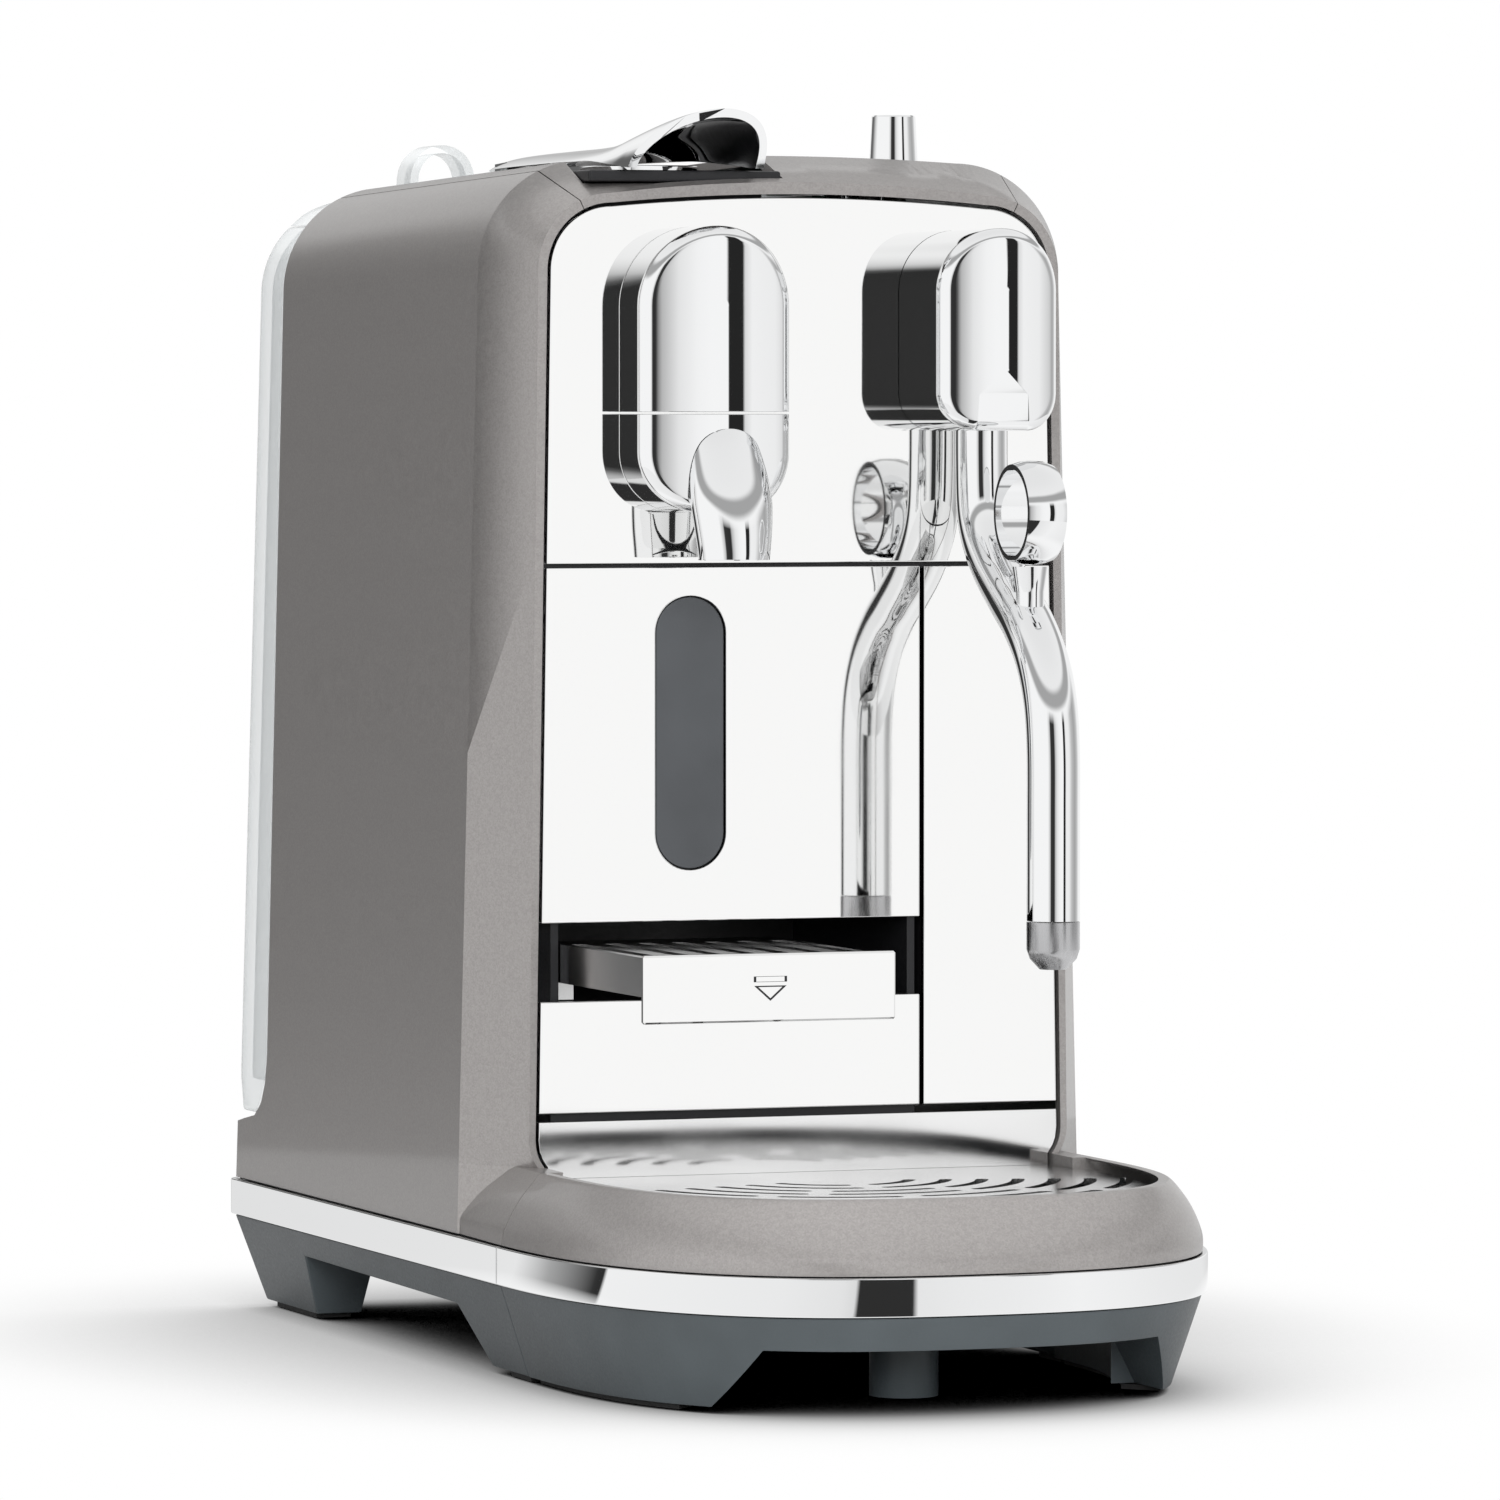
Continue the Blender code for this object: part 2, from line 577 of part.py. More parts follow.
# ---- inner structure ----------------------------------------------------------------------------
BULKHEAD_Y0, BULKHEAD_Y1 = REAR_Y - 68.5 * MM, REAR_Y - 65.0 * MM
SHELF_Z0, SHELF_Z1 = 203.0 * MM, 206.0 * MM
INNER_HALF = HALF_W - 19.5 * MM          # half width of the inner frame, clear of the shells
BACKING_Y0 = FRONT_Y + PANEL_T + CLEAR      # face of the frame behind the panels
BACKING_Y1 = BACKING_Y0 + 3 * MM
COLUMN_WALL_X = 34.0 * MM       # wall between the drawer bay and the pump bay
PUMP_R = 12.5 * MM
FEED_R = 7.7 * MM               # opening behind the steam head
FEED_Z = 261.0 * MM
PUMP_AT = (51.0 * MM, FRONT_Y + 95.1 * MM, 82.0 * MM)


def make_inner_frame():
    """Black frame: bulkhead, shelf, column wall and the plate behind the polished panels."""
    bulkhead = block("inner_frame", (-INNER_HALF, BULKHEAD_Y0, BODY_Z0),
                     (INNER_HALF, BULKHEAD_Y1, 292 * MM), BLACK)
    shelf = block("add_shelf", (-INNER_HALF, BACKING_Y0 + 1 * MM, SHELF_Z0),
                  (INNER_HALF, BULKHEAD_Y1 - 1 * MM, SHELF_Z1), BLACK)
    column = block("add_column", (COLUMN_WALL_X, BACKING_Y0 + 1 * MM, 65.5 * MM),
                   (COLUMN_WALL_X + 2.5 * MM, BULKHEAD_Y1 - 1 * MM, SHELF_Z1 - 1 * MM), BLACK)
    floor = block("add_floor", (COLUMN_WALL_X + 1 * MM, BACKING_Y0 + 1 * MM, 65.0 * MM),
                  (INNER_HALF, BULKHEAD_Y1 - 1 * MM, 67.5 * MM), BLACK)
    backing = [(x, z) for x, z in tombstone(GAP, SHELF_Z0 - 1.4 * MM)]
    upper = prism("add_upper_backing", [(x * 0.985, z - 0.7 * MM) for x, z in backing],
                  BACKING_Y0, BACKING_Y1, BLACK, along="Y")
    right = block("add_right_backing", (COLUMN_WALL_X, BACKING_Y0, 65.2 * MM),
                  (HALF_W - 17.9 * MM, BACKING_Y1, SHELF_Z1), BLACK)
    saddle = block("add_pump_saddle", (PUMP_AT[0] - 11 * MM, PUMP_AT[1] - 25 * MM, 66 * MM),
                   (PUMP_AT[0] + 11 * MM, PUMP_AT[1] + 25 * MM, 75 * MM), BLACK)
    frame = join(bulkhead, shelf, column, floor, upper, right, saddle)
    trough = cylinder("cut_saddle_trough", PUMP_R + CLEAR, -40 * MM, 40 * MM, PUMP_AT, BLACK, "Y", 24)
    mouth = prism("cut_capsule_path", rounded_rect(-50 * MM, -6 * MM, FRONT_Y + 16.1 * MM,
                                                   FRONT_Y + 74.1 * MM, 4 * MM),
                  190 * MM, 220 * MM, BLACK)
    axle = cylinder("cut_wand_bore", FEED_R, -20 * MM, 20 * MM, (STEAM_X, FRONT_Y, FEED_Z), BLACK, "Y")
    notch = block("cut_lever_notch", (LEVER_X - 12 * MM, BULKHEAD_Y0 - 4.5 * MM, 272 * MM),
                  (LEVER_X + 12 * MM, BULKHEAD_Y1 + 7 * MM, 300 * MM), BLACK)
    return cut(frame, mouth, axle, trough, notch)


# ---- polished front -----------------------------------------------------------------------------
def panel(name, outline, mat=POLISHED):
    return prism(name, outline, FRONT_Y, FRONT_Y + PANEL_T, mat, along="Y")


def panel_corners(x0, x1, z0, z1):
    """A front panel's outline; a side given as None follows the drafted body."""
    left0 = -side_x(MIRROR, z0) if x0 is None else x0
    left1 = -side_x(MIRROR, z1) if x0 is None else x0
    right0 = side_x(MIRROR, z0) if x1 is None else x1
    right1 = side_x(MIRROR, z1) if x1 is None else x1
    return [(left0, z0), (right0, z0), (right1, z1), (left1, z1)]


def make_upper_panel():
    """Polished upper front with the arched top, bored for the two heads."""
    low = MID_JOINT_Z + JOINT_GAP / 2
    upper = panel("front_panel_upper", tombstone(MIRROR, low))
    bore = cylinder("cut_steam_feed", FEED_R, -20 * MM, 20 * MM, (STEAM_X, FRONT_Y, FEED_Z), POLISHED, "Y")
    return cut(upper, bore)


def make_right_panel():
    return panel("front_panel_right", panel_corners(COLUMN_X + JOINT_GAP / 2, None,
                                                    LOW_JOINT_Z + 1.4 * MM, MID_JOINT_Z - JOINT_GAP / 2))


def make_drawer_panels():
    right = COLUMN_X - JOINT_GAP / 2
    upper = panel("drawer_panel_upper",
                  panel_corners(None, right, SLOT_Z1, MID_JOINT_Z - JOINT_GAP / 2))
    recess = prism("cut_grip_recess", pill(GRIP_X, GRIP_HALF + CLEAR, GRIP_Z0 - CLEAR, GRIP_Z1 + CLEAR),
                   FRONT_Y - 1 * MM, FRONT_Y + 10 * MM, POLISHED, along="Y")
    cut(upper, recess)
    lower = panel("drawer_panel_lower",
                  panel_corners(None, right, LOW_JOINT_Z + 1.4 * MM, SLOT_Z0))
    grip = prism("drawer_grip_insert", pill(GRIP_X, GRIP_HALF, GRIP_Z0, GRIP_Z1),
                 FRONT_Y + 0.5 * MM, FRONT_Y + PANEL_T, CHARCOAL, along="Y")
    return upper, lower, grip


GRIP_X = -29.2 * MM
GRIP_HALF = 9.0 * MM
GRIP_Z0, GRIP_Z1 = 126.0 * MM, 194.0 * MM


# ---- brew head, spout and steam head ------------------------------------------------------------
def head_ring(cx, half, low, high, low_r, high_r, inset, y):
    """A rounded upright outline, drawn in by inset, at a depth."""
    a = half - inset
    lo, hi = low + inset, high - inset
    rl, rh = max(low_r - inset, 0.5 * MM), max(high_r - inset, 0.5 * MM)
    rl, rh = min(rl, a), min(rh, a)
    points = (arc(cx + a - rl, lo + rl, rl, -90, 0, 6) + arc(cx + a - rh, hi - rh, rh, 0, 90, 6)
              + arc(cx - a + rh, hi - rh, rh, 90, 180, 6) + arc(cx - a + rl, lo + rl, rl, 180, 270, 6))
    return [(x, y, z) for x, z in points]


HEAD_ROLL = 0.45                # share of a head's bulge that is its rolled edge
ROLL_STEPS, FACE_STEPS = 4, 5


def make_head(name, cx, half, low, high, low_r, high_r, depth, bulge):
    """A pill-like housing: straight sides, a rolled edge and a face curved across its width."""
    face = FRONT_Y - CLEAR
    roll = bulge * HEAD_ROLL
    sweep = bulge - roll
    turns = [math.pi / 2 * i / ROLL_STEPS for i in range(ROLL_STEPS + 1)]
    steps = [(roll * (1 - math.cos(t)), roll * math.sin(t)) for t in turns]
    steps += [(roll + (half * 0.94 - roll) * i / FACE_STEPS, roll) for i in range(1, FACE_STEPS + 1)]
    rings = [head_ring(cx, half, low, high, low_r, high_r, 0.0, face)]
    for inset, ahead in steps:
        ring = head_ring(cx, half, low, high, low_r, high_r, inset, face)
        rings.append([(x, y - depth - ahead - sweep * (1 - ((x - cx) / half) ** 2), z) for x, y, z in ring])
    return loft(name, rings, CHROME, smooth_deg=30)


def make_brew_head():
    """Upper and lower halves of the brew head, parted by a thin joint, and the spout."""
    shape = (BREW_X, BREW_HALF, BREW_BOTTOM_Z, BREW_TOP_Z, 15 * MM, 20 * MM, BREW_DEPTH, BREW_BULGE)
    upper = make_head("brew_head_upper", *shape)
    lower = make_head("brew_head_lower", *shape)
    big = 60 * MM
    gap = 0.25 * MM
    below = block("cut_below_joint", (BREW_X - big, -2 * big, BREW_SEAM_Z - 2 * big),
                  (BREW_X + big, 0, BREW_SEAM_Z + gap), CHROME)
    above = block("cut_above_joint", (BREW_X - big, -2 * big, BREW_SEAM_Z - gap),
                  (BREW_X + big, 0, BREW_SEAM_Z + 2 * big), CHROME)
    cut(upper, below)
    cut(lower, above)
    spout = make_spout()
    socket = make_head("cut_head_socket", BREW_X, BREW_HALF + CLEAR, BREW_BOTTOM_Z - CLEAR, BREW_TOP_Z,
                       15 * MM, 20 * MM, BREW_DEPTH, BREW_BULGE + 2 * CLEAR)
    cut(spout, socket)
    return upper, lower, spout


SPOUT_X = -26.4 * MM
SPOUT_Y = FRONT_Y - 24.0 * MM   # axis of the outlet
SPOUT_Z = 203.6 * MM            # rim of the outlet


def make_spout():
    """Tapered spout that grows out of the lower half of the head."""
    stations = [  # height, distance ahead of the panels, half width, half depth
        (237.0, 15.4, 6.0, 4.2), (233.0, 17.1, 8.2, 5.6), (226.0, 19.5, 9.8, 7.0),
        (219.0, 21.7, 10.4, 8.0), (212.0, 23.3, 9.9, 8.2), (206.0, 24.0, 9.2, 8.0),
        (203.6, 24.0, 9.0, 7.9)]
    rings = []
    for z, y, a, b in stations:
        rings.append([(SPOUT_X + a * MM * math.cos(t), FRONT_Y - y * MM + b * MM * math.sin(t), z * MM)
                      for t in (2 * math.pi * i / 20 for i in range(20))])
    spout = loft("coffee_spout", rings, CHROME, smooth_deg=40)
    bore = turned("cut_spout_bore", [(0.0, 0.0), (7.6 * MM, 0.0), (6.6 * MM, 8 * MM), (0.0, 9 * MM)],
                  (SPOUT_X, SPOUT_Y, SPOUT_Z - 1 * MM), CHROME, steps=20)
    return cut(spout, bore)


def make_steam_head():
    head = make_head("steam_head", STEAM_X, STEAM_HALF, STEAM_BOTTOM_Z, STEAM_TOP_Z, 9.5 * MM, 15.5 * MM,
                     STEAM_DEPTH, STEAM_BULGE)
    socket = cylinder("cut_wand_socket", TUBE_R + 1.6 * MM, -25 * MM, 9 * MM, (STEAM_X, WAND_Y, WAND_Z), CHROME)
    swing = [(WAND_Y, WAND_Z - 25 * MM), (WAND_Y, WAND_Z + 6 * MM), (WAND_Y - 7.2 * MM, WAND_Z + 6 * MM),
             (WAND_Y - 7.2 * MM, WAND_Z), (WAND_Y - 9.3 * MM, WAND_Z - 4.5 * MM),
             (WAND_Y - 19 * MM, WAND_Z - 25 * MM)]
    slot = prism("cut_wand_swing", swing, STEAM_X - 7.1 * MM, STEAM_X + 7.1 * MM, CHROME, along="X")
    pins = cylinder("cut_pin_bores", PIN_R + CLEAR, -12 * MM, 12 * MM, (STEAM_X, WAND_Y, WAND_Z), CHROME,
                    "X", 16)
    return cut(head, socket, slot, pins)


# ---- steam wand ---------------------------------------------------------------------------------
def make_wand():
    """Bent steam tube on its pins, with its tip, the ring grip and the ring's stub."""
    reach = [(0.0, 243.5), (0.0, 228.0), (-1.0, 216.0), (-4.8, 208.0), (-12.3, 200.5), (-22.5, 193.5),
             (-32.5, 187.0), (-41.0, 179.0), (-46.5, 169.0), (-48.6, 157.0), (-48.8, 140.0), (-48.8, 115.0)]
    route = [(STEAM_X, WAND_Y + y * MM, z * MM) for y, z in reach]
    pipe = tube("steam_tube", smooth_run(route, 3), TUBE_R, CHROME, sides=3)
    pins = cylinder("add_wand_pins", PIN_R, -11.6 * MM, 11.6 * MM, (STEAM_X, WAND_Y, WAND_Z), CHROME, "X", 16)
    join(pipe, pins)
    tip = turned("steam_tip",
                 [(0.0, 0.0), (3.4 * MM, 0.0), (5.8 * MM, 2.6 * MM), (TUBE_R, 5.0 * MM),
                  (TUBE_R, 11.7 * MM), (0.0, 11.7 * MM)],
                 (STEAM_X, WAND_OUT_Y, WAND_TIP_Z), STEEL)
    half = RING_W / 2
    ring = turned("wand_ring",
                  [(RING_HOLE_R, -half), (RING_R - 1.0 * MM, -half), (RING_R - 0.25 * MM, -half * 0.55),
                   (RING_R, 0.0), (RING_R - 0.25 * MM, half * 0.55), (RING_R - 1.0 * MM, half),
                   (RING_HOLE_R, half)],
                  (STEAM_X, RING_Y, RING_Z), CHROME, along="X", steps=36)
    stub_top = RING_Z - RING_R - CLEAR
    stub = turned("add_ring_stub",
                  [(0.0, -15 * MM), (3.4 * MM, -15 * MM), (3.6 * MM, -6.2 * MM), (4.6 * MM, 0.0), (0.0, 0.0)],
                  (STEAM_X, RING_Y, stub_top), CHROME, steps=20)
    join(pipe, stub)
    return pipe, tip, ring


# ---- lever --------------------------------------------------------------------------------------
def make_lever():
    """Leaf-shaped lever: flat over the cover, widening into a hood that is open to the front."""
    stations = [  # y of the middle, y of the edges, top, half width, height of the edges, roundness
        (108.5, 108.0, 303.9, 1.6, 303.0, 2.0), (103.0, 102.6, 305.0, 4.6, 303.2, 2.0),
        (95.0, 94.8, 306.0, 7.6, 303.4, 2.0), (82.0, 82.0, 306.7, 9.4, 303.6, 2.0),
        (62.0, 62.0, 307.1, 10.9, 303.7, 2.0), (38.0, 38.0, 307.3, 12.3, 303.8, 1.9),
        (14.0, 14.0, 307.5, 13.8, 303.8, 1.8), (-6.0, -4.0, 308.2, 15.0, 303.6, 1.6),
        (-22.0, -14.5, 309.8, 16.0, 303.1, 1.4), (-36.0, -23.5, 311.9, 16.8, 302.5, 1.2),
        (-49.0, -32.5, 313.7, 17.4, 301.9, 1.08), (-59.0, -39.5, 314.8, 17.7, 301.3, 1.0),
        (-66.0, -45.0, 315.2, 17.9, 300.95, 0.95)]
    fan = [math.pi * k / LEVER_STEPS for k in range(LEVER_STEPS + 1)]
    rings = []
    for middle_y, edge_y, top, half, edge, power in stations:
        skin = min(LEVER_T, half * 0.45)
        ring = []
        for slim in (0.0, skin):
            side = []
            for t in fan:
                rise = max(math.sin(t), 0.0)
                side.append((LEVER_X + (half - slim) * MM * math.cos(t),
                             LEVER_ZERO_Y + (edge_y + (middle_y - edge_y) * rise ** 1.3) * MM,
                             (edge + (top - slim - edge) * rise ** power) * MM))
            ring += side if slim == 0.0 else side[::-1]
        rings.append(ring)
    handle = loft("lever_handle", rings, CHROME, smooth_deg=50)
    px, py, pz = LEVER_PIVOT
    lug_outline = ([(py - 5.0 * MM, 305.4 * MM), (py - 5.0 * MM, pz)]
                   + arc(py, pz, 5.0 * MM, 180, 360, 8)[1:] + [(py + 5.0 * MM, 305.0 * MM)])
    lug = prism("add_lever_lug", lug_outline, px - 6 * MM, px + 6 * MM, CHROME, along="X")
    join(handle, lug)
    pin = cylinder("add_lever_pin", PIN_R, -14.4 * MM, 14.4 * MM, LEVER_PIVOT, CHROME, "X", 20)
    return join(handle, pin)


PIN_R = 1.8 * MM
LEVER_T = 2.2                   # skin of the lever, in mm
LEVER_STEPS = 12
LEVER_ZERO_Y = LEVER_PIVOT[1] - 90.0 * MM   # where the lever's stations count from


def make_lever_bracket():
    """Fork that carries the lever's pin, on the bulkhead's top."""
    px, py, pz = LEVER_PIVOT
    base_z = 271.5 * MM
    base = block("lever_bracket", (px - 15 * MM, py - 9 * MM, base_z), (px + 15 * MM, py + 10 * MM,
                                                                        base_z + 2.5 * MM),
                 BLACK)
    ears = []
    for sign in (-1, 1):
        xs = sorted((px + sign * 12 * MM, px + sign * 15 * MM))
        outline = ([(py - 6 * MM, base_z + 1 * MM), (py + 6 * MM, base_z + 1 * MM)]
                   + arc(py, pz, 4.6 * MM, 0, 180, 6))
        ears.append(prism(f"add_ear_{'left' if sign < 0 else 'right'}", outline, xs[0], xs[1], BLACK,
                          along="X"))
    foot = block("add_bracket_foot", (px - 12 * MM, py - 9 * MM, SHELF_Z1 + CLEAR),
                 (px + 12 * MM, py - 6 * MM, base_z + 1 * MM), BLACK)
    join(base, *ears, foot)
    bore = cylinder("cut_bracket_bore", PIN_R + CLEAR, -20 * MM, 20 * MM, LEVER_PIVOT, BLACK, "X", 20)
    return cut(base, bore)


def make_capsule_slot():
    """Black block under the spoon, with the slot that the capsule drops through."""
    block_top = 300.6 * MM
    housing = block("capsule_slot_housing", (SLOT_X0, SLOT_Y0, 297.6 * MM), (SLOT_X1, SLOT_Y1,
                                                                             block_top), BLACK)
    neck = block("add_slot_neck", (LEVER_X - 23 * MM, FRONT_Y + 10.1 * MM, 288.5 * MM),
                 (LEVER_X + 23 * MM, FRONT_Y + 70.1 * MM, 299 * MM), BLACK)
    join(housing, neck)
    mouth = prism("cut_capsule_mouth",
                  rounded_rect(LEVER_X - 16 * MM, LEVER_X + 16 * MM, FRONT_Y + 26.1 * MM,
                               FRONT_Y + 62.1 * MM, 14 * MM, 5),
                  270 * MM, 320 * MM, BLACK)
    cut(housing, mouth)
    collar_outer = rounded_rect(LEVER_X - 15.7 * MM, LEVER_X + 15.7 * MM, FRONT_Y + 26.4 * MM,
                                FRONT_Y + 61.8 * MM,
                                13.7 * MM, 5)
    collar = prism("capsule_collar", collar_outer, 291 * MM, 302.4 * MM, CHROME)
    hole = prism("cut_collar_hole",
                 rounded_rect(LEVER_X - 14.2 * MM, LEVER_X + 14.2 * MM, FRONT_Y + 27.9 * MM,
                              FRONT_Y + 60.3 * MM,
                              12.2 * MM, 5),
                 280 * MM, 320 * MM, CHROME)
    cut(collar, hole)
    return housing, collar


# ---- controls on the top ------------------------------------------------------------------------
def cover_top(x, y):
    """Height of the top cover's skin."""
    return settle(x, y, crown(CREASE, x))[2]


def make_controls():
    seat = cover_top(KNOB_X, KNOB_Y)
    dial = turned("selector_dial",
                  [(0.0, 0.0), (6.1 * MM, 0.0), (6.2 * MM, 0.4 * MM), (5.6 * MM, 11.9 * MM), (5.3 * MM,
                                                                                              12.3 * MM),
                   (0.0, 12.3 * MM)],
                  (KNOB_X, KNOB_Y, seat + 0.6 * MM), CHROME, steps=36)
    shaft = cylinder("add_dial_shaft", 3.2 * MM, -14 * MM, 4 * MM, (KNOB_X, KNOB_Y, seat), CHROME, steps=20)
    join(dial, shaft)
    buttons = []
    for name, y in (("start_button", START_Y), ("power_button", POWER_Y)):
        top = cover_top(KNOB_X, y)
        buttons.append(cylinder(name, BUTTON_R, -9 * MM, 1.6 * MM, (KNOB_X, y, top), CHROME, steps=24,
                                edge=0.4 * MM))
    display = block("display_window", (DISPLAY_X0, DISPLAY_Y0, 296 * MM),
                    (DISPLAY_X1, DISPLAY_Y1, 302.2 * MM), GLASS)
    plate = block("control_plate", (1 * MM, KNOB_Y - 22 * MM, 289 * MM),
                  (49.5 * MM, KNOB_Y + 52 * MM, 290.5 * MM), BOARD)
    posts = [block(f"add_display_post_{i}", (x, KNOB_Y + 10 * MM, 290 * MM),
                   (x + 4 * MM, KNOB_Y + 44 * MM, 295.7 * MM), BOARD)
             for i, x in enumerate((6 * MM, 24 * MM))]
    legs = [block(f"add_plate_leg_{i}", (4 * MM, y, SHELF_Z1 + CLEAR), (28 * MM, y + 3 * MM, 290 * MM), BOARD)
            for i, y in enumerate((KNOB_Y - 20 * MM, KNOB_Y + 46 * MM))]
    join(plate, *posts, *legs)
    cut(plate, cylinder("cut_shaft_hole", 3.6 * MM, 280 * MM, 300 * MM, (KNOB_X, KNOB_Y, 0), BOARD, steps=16))
    return dial, buttons, display, plate


# ---- machinery inside ---------------------------------------------------------------------------
def make_machinery():
    """Pump, heater, brew chamber, steam valve and the tank's seat."""
    pump = cylinder("pump", PUMP_R, -34 * MM, 34 * MM, PUMP_AT, STEEL, "Y", 24, 1.5 * MM)
    nozzle = cylinder("add_pump_nozzle", 4 * MM, -42 * MM, -30 * MM, PUMP_AT, STEEL, "Y", 16)
    join(pump, nozzle)
    block("heater_block", (38.5 * MM, FRONT_Y + 16.1 * MM, 206.3 * MM), (64 * MM, FRONT_Y + 100.1 * MM,
                                                                         228 * MM),
          ALLOY, 3 * MM, 2)
    turned("steam_valve",
           [(0.0, -5.3 * MM), (7.4 * MM, -5.3 * MM), (7.4 * MM, CLEAR), (10 * MM, CLEAR), (10 * MM, 24 * MM),
            (0.0, 24 * MM)],
           (STEAM_X, BACKING_Y1, FEED_Z), BRASS, along="Y", steps=20)
    chamber = block("brew_chamber", (LEVER_X - 22 * MM, FRONT_Y + 10.1 * MM, 206.3 * MM),
                    (LEVER_X + 22 * MM, FRONT_Y + 102.1 * MM, 288.2 * MM), BLACK, 1.5 * MM)
    shaft = prism("cut_capsule_shaft", rounded_rect(LEVER_X - 17 * MM, LEVER_X + 17 * MM,
                                                    FRONT_Y + 25.1 * MM, FRONT_Y + 64.1 * MM, 4 * MM),
                  190 * MM, 300 * MM, BLACK)
    guide = cylinder("cut_piston_guide", PISTON_R + CLEAR, 60.1 * MM, 110.1 * MM, (LEVER_X, FRONT_Y, PISTON_Z),
                     BLACK, "Y", 24)
    cut(chamber, shaft, guide)
    piston = cylinder("brew_piston", PISTON_R, 66.1 * MM, 104.1 * MM, (LEVER_X, FRONT_Y, PISTON_Z),
                      ALLOY, "Y", 24, 0.8 * MM)
    board = block("control_board", (-60 * MM, BULKHEAD_Y0 - 5.1 * MM, 110 * MM),
                  (30 * MM, BULKHEAD_Y0 - 3.5 * MM, 190 * MM), BOARD)
    corners = [(x, z) for z in (116 * MM, 184 * MM) for x in (-54 * MM, 24 * MM)]
    standoffs = [cylinder(f"add_standoff_{i}", 2.5 * MM, -4.5 * MM, -CLEAR, (x, BULKHEAD_Y0, z), BOARD, "Y", 12)
                 for i, (x, z) in enumerate(corners)]
    join(board, *standoffs)
    return piston


PISTON_R = 11.0 * MM
PISTON_Z = 262.0 * MM
PISTON_TRAVEL = 14.0 * MM


def make_tank_seat():
    """Socket on the base that the tank's valve drops into."""
    half = TANK_HALF_IN - 4 * MM
    seat = block("tank_seat", (-half, TANK_FRONT_Y + 1 * MM, BODY_Z0),
                 (half, TANK_FRONT_Y + 48 * MM, TANK_FLOOR_Z - CLEAR), BLACK, 1.5 * MM)
    well = cylinder("cut_valve_well", VALVE_R + 1.0 * MM, 38 * MM, 70 * MM, (0, VALVE_Y, 0), BLACK)
    return cut(seat, well)


TANK_FLOOR_Z = 52.6 * MM
VALVE_R = 8.0 * MM
VALVE_Y = TANK_FRONT_Y + 24.0 * MM


def make_gland():
    """Mains inlet in the lower rear wall."""
    gland = turned("cord_gland",
                   [(0.0, 1.4 * MM), (7.4 * MM, 1.4 * MM), (7.4 * MM, 0.0), (5.0 * MM, 0.0),
                    (5.0 * MM, -8 * MM), (0.0, -8 * MM)],
                   (GLAND_X, REAR_Y - 1.7 * MM, GLAND_Z), BLACK, along="Y", steps=24)
    return gland


# ---- water tank ---------------------------------------------------------------------------------
def tank_half(z, grow=0.0):
    """Half width of the tank's outer part at a height."""
    cx, cz, r = TANK_CORNER
    if z <= cz:
        return TANK_OUTLINE[0] - TANK_OUTLINE[1] * z + grow
    rise = min((z - cz) / (r + grow), 1.0)
    return cx + (r + grow) * math.sqrt(max(1.0 - rise * rise, 0.0))


def tank_ring(z, inset, front=TANK_FRONT_Y):
    """T-shaped plan section: narrow between the shells, full width behind them."""
    wide = tank_half(z, -inset)
    narrow = min(TANK_HALF_IN - inset, wide - 1.5 * MM)
    step = rear_edge(z) + 0.8 * MM + inset
    rear = TANK_REAR_Y - inset + TANK_LEAN * max(TANK_SPLIT_Z - z, 0.0)
    rear = min(rear, rear + (z - 62 * MM) * 0.35)
    r = min(4.0 * MM, (rear - step) * 0.8)
    half = ([(narrow, front + inset), (narrow, step), (wide, step)]
            + arc(wide - r, rear - r, r, 0, 90, 3))
    return [(x, y, z) for x, y in half] + [(-x, y, z) for x, y in reversed(half)]


def make_tank():
    heights = [TANK_FLOOR_Z, 55.5 * MM, 61 * MM, 68 * MM, 180 * MM, 271.5 * MM, 279 * MM, 285 * MM,
               TANK_SPLIT_Z]
    tank = loft("water_tank", [tank_ring(z, 0.0) for z in heights], CLEAR_PLASTIC, 30)
    inside = [61 * MM, 68 * MM, 180 * MM, 271.5 * MM, 279 * MM, 285 * MM, TANK_SPLIT_Z + 0.5 * MM]
    cavity = loft("cut_tank_cavity", [tank_ring(z, TANK_WALL) for z in inside], CLEAR_PLASTIC)
    well = block("cut_tank_floor", (-TANK_HALF_IN + TANK_WALL, TANK_FRONT_Y + TANK_WALL,
                                    TANK_FLOOR_Z + TANK_WALL),
                 (TANK_HALF_IN - TANK_WALL, TANK_REAR_Y - TANK_WALL - 9 * MM, 62 * MM), CLEAR_PLASTIC)
    cut(tank, cavity, well)
    valve = turned("tank_valve",
                   [(0.0, -11 * MM), (5.0 * MM, -11 * MM), (VALVE_R - 1 * MM, -9 * MM),
                    (VALVE_R - 1 * MM, -CLEAR),
                    (0.0, -CLEAR)],
                   (0, VALVE_Y, TANK_FLOOR_Z), BLACK, steps=20)
    return tank, valve


LID_PIVOT = (0.0, TANK_REAR_Y, TANK_SPLIT_Z + CLEAR / 2)
LID_LEVELS = [(TANK_SPLIT_Z + CLEAR, 16.1), (293.0 * MM, 19.9), (295.0 * MM, 24.0), (296.4 * MM, 28.9),
              (298.5 * MM, 40.5), (300.0 * MM, 55.5)]     # height, and inset from the base's side in mm
HANDLE_X = -36.7 * MM
HANDLE_Y = TANK_FRONT_Y + 29.0 * MM


